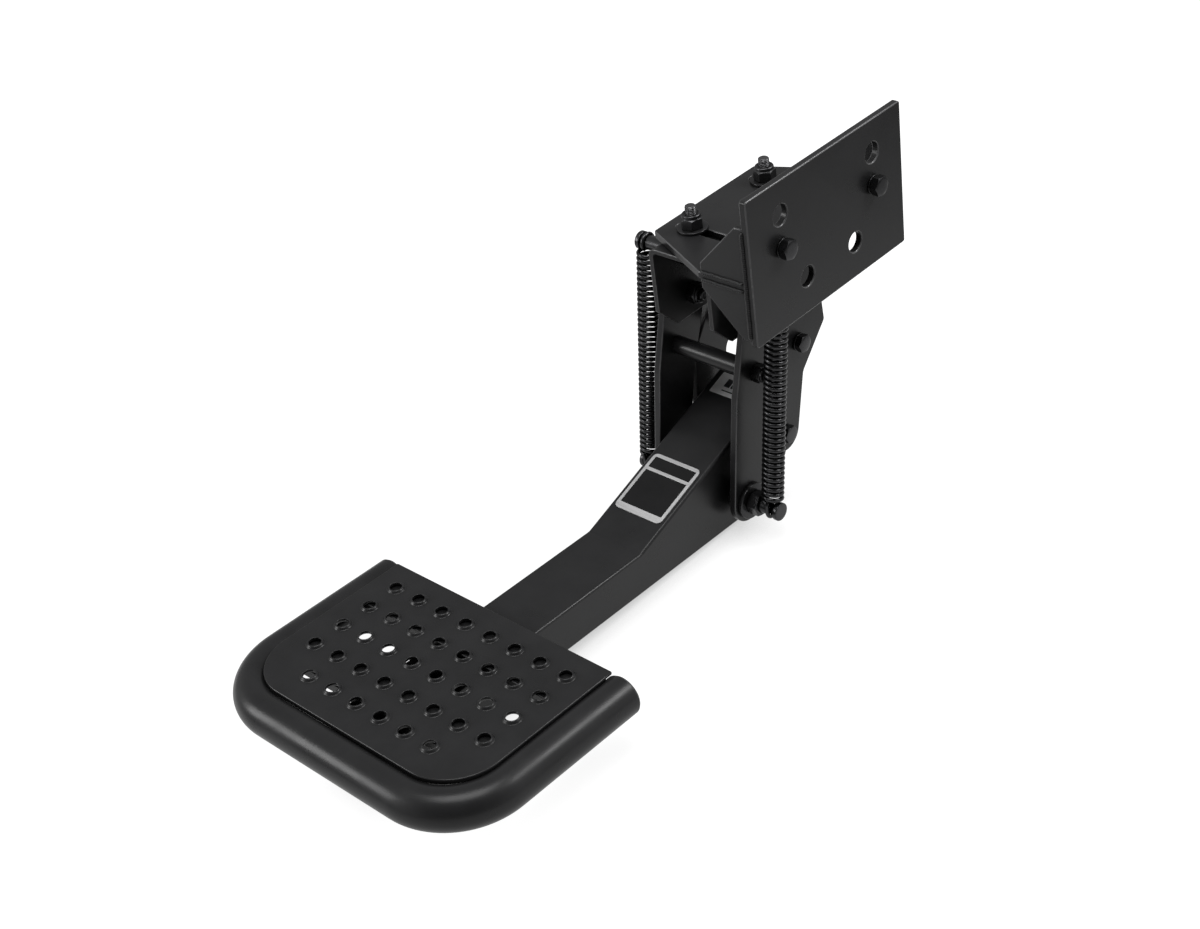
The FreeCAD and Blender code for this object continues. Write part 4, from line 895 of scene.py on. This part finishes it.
COLLAR_STEPS = 40
COLLAR_FOOT = 10.4
COLLAR_PROFILE = (                   # (radius, rise) from the tread's top over the lip to its underside
    (COLLAR_FOOT, 0), (10.0, 0.06), (9.6, 0.28), (9.2, 0.70), (8.8, 1.22), (8.4, 1.76), (8.0, 2.22), (7.6, 2.56),
    (7.2, 2.74), (6.8, 2.78), (6.45, 2.62), (6.25, 2.25), (6.2, 1.6), (6.25, 0.8), (6.4, 0.0), (6.7, -0.7),
    (7.3, -1.3), (8.2, -1.7), (9.3, -1.93), (COLLAR_FOOT, -PAD_SHEET))


def tread_edge(outer, inner):
    """Rows of points round the tread's edge: over its fold, down to the rim and back to the underside."""
    under = PAD_TOP - PAD_SHEET
    rows = [[Vector((p.x, p.y, PAD_TOP)) for p in inner]]
    for turn in range(0, 91, 18):
        rows.append([])
        for out, into in zip(outer, inner):
            fold = 1.6 if out.y < PAD_REAR - LIP_GAP else 0.5
            place = out.lerp(into, fold * (1 - math.sin(math.radians(turn))) / PAD_SHEET)
            drop = fold * (1 - math.cos(math.radians(turn)))
            rows[-1].append(Vector((place.x, place.y, PAD_TOP - drop)))
    for loop in (outer, inner):
        rows.append([])
        for out, point in zip(outer, loop):
            low = max(over_rim(point) + 0.08, under - 4) if out.y < PAD_REAR - LIP_GAP else under
            rows[-1].append(Vector((point.x, point.y, low)))
    rows.append([Vector((p.x, p.y, under)) for p in inner])
    return rows


def tread():
    """The tread sheet: its edge is turned down to the rim, and it is drawn up round each hole into a collar."""
    outer, inner = tread_outline(0), tread_outline(PAD_SHEET)
    loops = [inner] + [circle(x, y, 2 * COLLAR_FOOT, COLLAR_STEPS) for x, y in grip_places()]
    flat = [Vector((p.x, p.y, level)) for level in (PAD_TOP - PAD_SHEET, PAD_TOP) for loop in loops for p in loop]
    shell = Batch().add(flat, spans(loops))
    rows = tread_edge(outer, inner)
    shell.add([point for row in rows for point in row], grid_faces(len(rows), len(outer)))
    for x, y in grip_places():
        ring = []
        for radius, rise in COLLAR_PROFILE:
            for k in range(COLLAR_STEPS):
                angle = 2 * math.pi * k / COLLAR_STEPS
                ring.append((x + radius * math.cos(angle), y + radius * math.sin(angle), PAD_TOP + rise))
        shell.add(ring, grid_faces(len(COLLAR_PROFILE), COLLAR_STEPS))
    shell.moved(ARM_FRAME).make("tread_sheet", "step_arm", "powder_coat", ["pad_plate"], bevel=0.2, sharp=40)


def rim_points():
    """Centre line of the rim, from one rear end round the front to the other."""
    points = [Vector((CENTRE - TUBE_OUT, PAD_REAR, TUBE_HEIGHT))]
    for side, start in ((-1, 180), (1, 270)):
        centre = Vector((CENTRE + side * (TUBE_OUT - TUBE_BEND), TUBE_FRONT + TUBE_BEND, TUBE_HEIGHT))
        for k in range(25):
            turn = math.radians(start + 90 * k / 24)
            points.append(centre + Vector((math.cos(turn), math.sin(turn), 0)) * TUBE_BEND)
    points.append(Vector((CENTRE + TUBE_OUT, PAD_REAR, TUBE_HEIGHT)))
    return points


def rim():
    """The rim tube, open at its two rear ends for the caps."""
    path = rim_points()
    sides = 72
    shell = Batch().add(*tube(path, TUBE_RADIUS, sides, (0, 0, 1), ends=False))
    for end in (path[0], path[-1]):
        ring = [end + Vector((math.cos(2 * math.pi * k / sides), 0, math.sin(2 * math.pi * k / sides))) * r
                for r in (TUBE_RADIUS, TUBE_BORE) for k in range(sides)]
        deep = [point + Vector((0, -14, 0)) for point in ring[sides:]]
        shell.add(ring + deep, grid_faces(3, sides))
    shell.moved(ARM_FRAME).make("rim_pipe", "step_arm", "powder_coat", ["rim_tube"], bevel=0.5)


def caps():
    pair = Batch()
    for side in (-1, 1):
        place = Vector((CENTRE + side * TUBE_OUT, PAD_REAR, TUBE_HEIGHT))
        profile = [(18.5, -16), (18.5, 0), (19.85, 0.05), (19.9, 1.2)] + arc_profile(19.1, 1.2, 0.8, 0, 90)[1:]
        profile += [(16, 2.0), (14.6, 1.5), (0.5, 1.5)]
        pair.add(*turned(profile, place, (0, 1, 0)))
    pair.moved(ARM_FRAME).make("tube_plug_pair", "step_arm", "end_plastic", ["tube_end_caps"])


def on_slope(u, v, level):
    return SLOPE_FRAME @ Vector((u, v, level))


def load_plate():
    """The framed plate on the slope, with two bare dark fields let into it."""
    panes = [rectangle(-28.25, 28.25, 46.5, 93, 0.8), rectangle(-28.25, 28.25, 96.8, 111.2, 0.8)]
    border = slab(rectangle(-32, 32, 38.5, 115.5, 6), panes, 0, 1, on_slope)
    make("load_plate_frame", *border, "step_arm", "plate_metal", ["load_plate"], bevel=0.3)
    fields = Batch()
    for outline in panes:
        fields.add(*slab(outline, [], 0.1, 0.75, on_slope))
    fields.make("load_plate_panels", "step_arm", "plate_field", ["load_plate_fields"])


def label():
    """A small label with plain generic bars."""
    film = slab(rectangle(-29, 21, 211, 240, 1.5), [], 0, 0.22, on_slope)
    make("label_sheet", *film, "step_arm", "label_white", ["sticker"])
    bars = Batch()
    for left, right, low, high in ((-17, -9.5, 222.5, 233.5), (-8, -3.5, 222.5, 233.5), (-2, 5, 222.5, 233.5),
                                   (-16, 12, 216.5, 218)):
        bars.add(*slab(rectangle(left, right, low, high, 0.3), [], 0.1, 0.28, on_slope))
    bars.make("label_bars", "step_arm", "label_white", material=LABEL_INK)


# Springs

COIL_DIAMETER = 24.8
WIRE = 4.6
COIL_PITCH = 5.92
COIL_REACH = 10.2                    # from a pin's centre to the coil's end
HOOK_TURN = 235
GROOVE = 12.5


def spring_path(length):
    """Centre line down local -Z: a hook over each pin and a left-handed coil between."""
    steps = 20
    coil = (COIL_DIAMETER - WIRE) / 2
    hook = (GROOVE + WIRE) / 2 + 0.1
    run = length - 2 * COIL_REACH
    turns = round(run / COIL_PITCH - 0.5) + 0.5

    def around(degrees, level):
        angle = math.radians(degrees)
        return Vector((0, hook * math.cos(angle), hook * math.sin(angle) + level))

    start = [around(HOOK_TURN - HOOK_TURN * k / 14, 0) for k in range(15)]
    end = [around(180 + HOOK_TURN * k / 14, -length) for k in range(15)]
    middle = []
    count = round(turns * steps)
    for i in range(2, count - 1):
        angle = 2 * math.pi * turns * i / count
        middle.append(Vector((-coil * math.sin(angle), coil * math.cos(angle), -COIL_REACH - run * i / count)))
    shoulder = Vector((0, coil - 0.4, 0.9 - COIL_REACH))
    first = bend_between(start[-1], shoulder, middle[0])
    last = bend_between(middle[-1], Vector((0, -shoulder.y, -shoulder.z - length)), end[0])
    return start + first + middle + last + end


def bend_between(a, corner, b):
    """A smooth turn from a past a corner to b."""
    points = []
    for k in range(1, 10):
        t = k / 10
        points.append(a * (1 - t) ** 3 + a.lerp(corner, 0.95) * 3 * t * (1 - t) ** 2
                      + corner * 3 * t ** 2 * (1 - t) + b * t ** 3)
    return points


def springs():
    run = FRONT_LOWER - SPRING_UPPER
    lean = Vector((0, 0, -1)).rotation_difference(run)
    for side, hand in ((-1, "left"), (1, "right")):
        top = Vector((CENTRE + side * SPRING_OUT[side], SPRING_UPPER.y, SPRING_UPPER.z))
        points = [top + lean @ point for point in spring_path(run.length)]
        vertices, faces = tube(points, WIRE / 2, 12)
        body = f"{hand}_spring"
        piece = make(f"spring_coil_{hand}", vertices, faces, body, "spring_steel", [f"spring_{hand}"], sharp=60)
        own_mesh(piece)


# Studio

def arithmetic(nodes, links, operation, first, second):
    step = nodes.new("ShaderNodeMath")
    step.operation = operation
    for socket, value in zip(step.inputs, (first, second)):
        if isinstance(value, float):
            socket.default_value = value
        else:
            links.new(value, socket)
    return step.outputs[0]


FLOOR_TONE = (0.16, 0.16, 0.16, 1)
FLOOR_GLOW = 0.48                    # least glow that the camera sees, where the painted contact shadow is deepest under the part


def floor():
    """A white floor whose glow to the eye dips near the part under a painted contact shadow, above the faint real
    shadow that its own tone keeps; in reflections it darkens with distance.
    """
    floor_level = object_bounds()[0].z - 0.0005
    bpy.ops.mesh.primitive_circle_add(vertices=96, radius=9, fill_type="NGON", location=(-0.1, -0.3, floor_level))
    disc = bpy.context.object
    disc.name = "floor"
    material, nodes, links, shader = graph("floor_white")
    shader.inputs["Base Color"].default_value = FLOOR_TONE
    shader.inputs["Roughness"].default_value = 0.9
    shader.inputs["Specular IOR Level"].default_value = 0.1
    away = nodes.new("ShaderNodeVectorMath")
    away.operation = "LENGTH"
    links.new(nodes.new("ShaderNodeTexCoord").outputs["Object"], away.inputs[0])
    path = nodes.new("ShaderNodeLightPath")
    # painted contact shadow: ambient occlusion dims the glow the camera sees near the part; the glow also rises a
    # little with distance from the part
    near = nodes.new("ShaderNodeAmbientOcclusion")
    near.inputs["Distance"].default_value = PAINTED_SHADE_REACH
    near.samples = 3
    open_share = arithmetic(nodes, links, "MULTIPLY", near.outputs["AO"],
                            spread(nodes, links, away.outputs["Value"], 0.50, 0.62, 0.35, 0.8))
    seen = arithmetic(nodes, links, "MULTIPLY", path.outputs["Is Camera Ray"],
                      arithmetic(nodes, links, "ADD", open_share, FLOOR_GLOW))
    mirrored = arithmetic(nodes, links, "MULTIPLY", path.outputs["Is Glossy Ray"],
                          spread(nodes, links, away.outputs["Value"], 0.6, 0.0, 0.45, 1.4))
    glow = nodes.new("ShaderNodeEmission")
    links.new(arithmetic(nodes, links, "ADD", seen, mirrored), glow.inputs["Strength"])
    both = nodes.new("ShaderNodeAddShader")
    links.new(shader.outputs[0], both.inputs[0])
    links.new(glow.outputs[0], both.inputs[1])
    links.new(both.outputs[0], nodes["Material Output"].inputs["Surface"])
    disc.data.materials.append(material)
    disc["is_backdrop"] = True


DIM_SIDES = (                        # direction, share of light left there, and where the dimming starts and ends
    ((-0.605, 0.559, 0.567), 0.40, 0.1, 0.9),
    ((0.605, -0.559, 0.567), 0.10, 0.4, 0.9),
)
ROOM_LIGHT = 0.66
LAMP_AIM = Vector((-0.15, -0.3, -0.25))
LAMPS = (                            # name, direction, distance, size, power
    ("right_back", (0.48, 0.56, 0.68), 2.2, (0.8, 0.6), 17),
    ("overhead", (0.10, -0.10, 0.99), 2.0, (1.2, 1.0), 18),
    ("left_front", (-0.65, -0.70, 0.40), 2.4, (0.9, 0.9), 16),
)


def surroundings():
    """White to the eye; as light, a soft room that is dimmer on two sides."""
    world = bpy.data.worlds.new("studio")
    bpy.context.scene.world = world
    world.use_nodes = True
    nodes, links = world.node_tree.nodes, world.node_tree.links
    place = nodes.new("ShaderNodeTexCoord").outputs["Generated"]
    strength = ROOM_LIGHT
    for direction, left, start, end in DIM_SIDES:
        towards = nodes.new("ShaderNodeVectorMath")
        towards.operation = "DOT_PRODUCT"
        towards.inputs[1].default_value = direction
        links.new(place, towards.inputs[0])
        share = spread(nodes, links, towards.outputs["Value"], 1.0, left, start, end)
        strength = arithmetic(nodes, links, "MULTIPLY", strength, share)
    soft = nodes["Background"]
    soft.inputs["Color"].default_value = (1, 1, 1, 1)
    links.new(strength, soft.inputs["Strength"])
    white = nodes.new("ShaderNodeBackground")
    white.inputs["Color"].default_value = (1, 1, 1, 1)
    white.inputs["Strength"].default_value = 1.0
    path = nodes.new("ShaderNodeLightPath")
    clear = arithmetic(nodes, links, "MAXIMUM", path.outputs["Is Camera Ray"], path.outputs["Is Transmission Ray"])
    mix = nodes.new("ShaderNodeMixShader")
    links.new(clear, mix.inputs[0])
    links.new(soft.outputs[0], mix.inputs[1])
    links.new(white.outputs[0], mix.inputs[2])
    links.new(mix.outputs[0], nodes["World Output"].inputs["Surface"])


def lamps():
    for name, direction, distance, size, power in LAMPS:
        lamp = bpy.data.lights.new(name, "AREA")
        lamp.shape = "RECTANGLE"
        lamp.size, lamp.size_y = size
        lamp.energy = power
        holder = bpy.data.objects.new(name, lamp)
        holder.location = LAMP_AIM + Vector(direction).normalized() * distance
        holder.rotation_euler = (-Vector(direction)).to_track_quat("-Z", "Y").to_euler()
        bpy.context.scene.collection.objects.link(holder)


def camera():
    """The photograph's viewpoint."""
    azimuth, roll = math.radians(47.246), math.radians(8.892)
    place = Vector((1.01706, -1.29714, 0.83115))
    forward = Vector((-0.60499, 0.55933, -0.56669)).normalized()
    level = Vector((math.cos(azimuth), math.sin(azimuth), 0))
    level = (level - forward * level.dot(forward)).normalized()
    down = forward.cross(level)
    right = level * math.cos(roll) + down * math.sin(roll)
    lower = down * math.cos(roll) - level * math.sin(roll)
    data = bpy.data.cameras.new("photo_view")
    data.sensor_width = 36
    data.lens = 55.5855
    holder = bpy.data.objects.new("photo_view", data)
    holder.matrix_world = Matrix((
        (right.x, -lower.x, -forward.x, place.x),
        (right.y, -lower.y, -forward.y, place.y),
        (right.z, -lower.z, -forward.z, place.z),
        (0, 0, 0, 1)))
    bpy.context.scene.collection.objects.link(holder)
    bpy.context.scene.camera = holder


def dress_cad():
    """Materials and soft edges for the solids that are shown as they are."""
    slots = {entry["node"]: entry["material_slot"] for entry in frame["record"]["subparts"]}
    for name, solid in frame["nodes"].items():
        if solid.hide_render:
            continue
        solid.data.materials.clear()
        solid.data.materials.append(SLOT_MATERIALS[slots[name]])
        if slots[name] == "powder_coat":
            # a second, lighter coat for the bevels paints an edge highlight
            solid.data.materials.append(EDGE_HIGHLIGHT_COAT)
        weld = solid.modifiers.new("weld", "WELD")
        weld.merge_threshold = 0.00001
        flat = solid.modifiers.new("flat", "DECIMATE")
        flat.decimate_type = "DISSOLVE"
        flat.angle_limit = math.radians(0.5)
        soften(solid, 0.9, 32)


bpy.context.scene.view_settings.view_transform = "Standard"
camera()
mount_plate()
shelf()
gussets()
welds()
hanger()
hang_fasteners()
chassis_fasteners()
pivot_fasteners()
spring_pins()
links()
spacer_fasteners("front", FRONT_SPACER, -1, "front_links", 10, 20)
spacer_fasteners("rear", REAR_SPACER, 1, "rear_links", 20, 5)
axle_fasteners()
rear_lower_fasteners()
tread()
rim()
caps()
load_plate()
label()
springs()
dress_cad()
floor()
surroundings()
lamps()
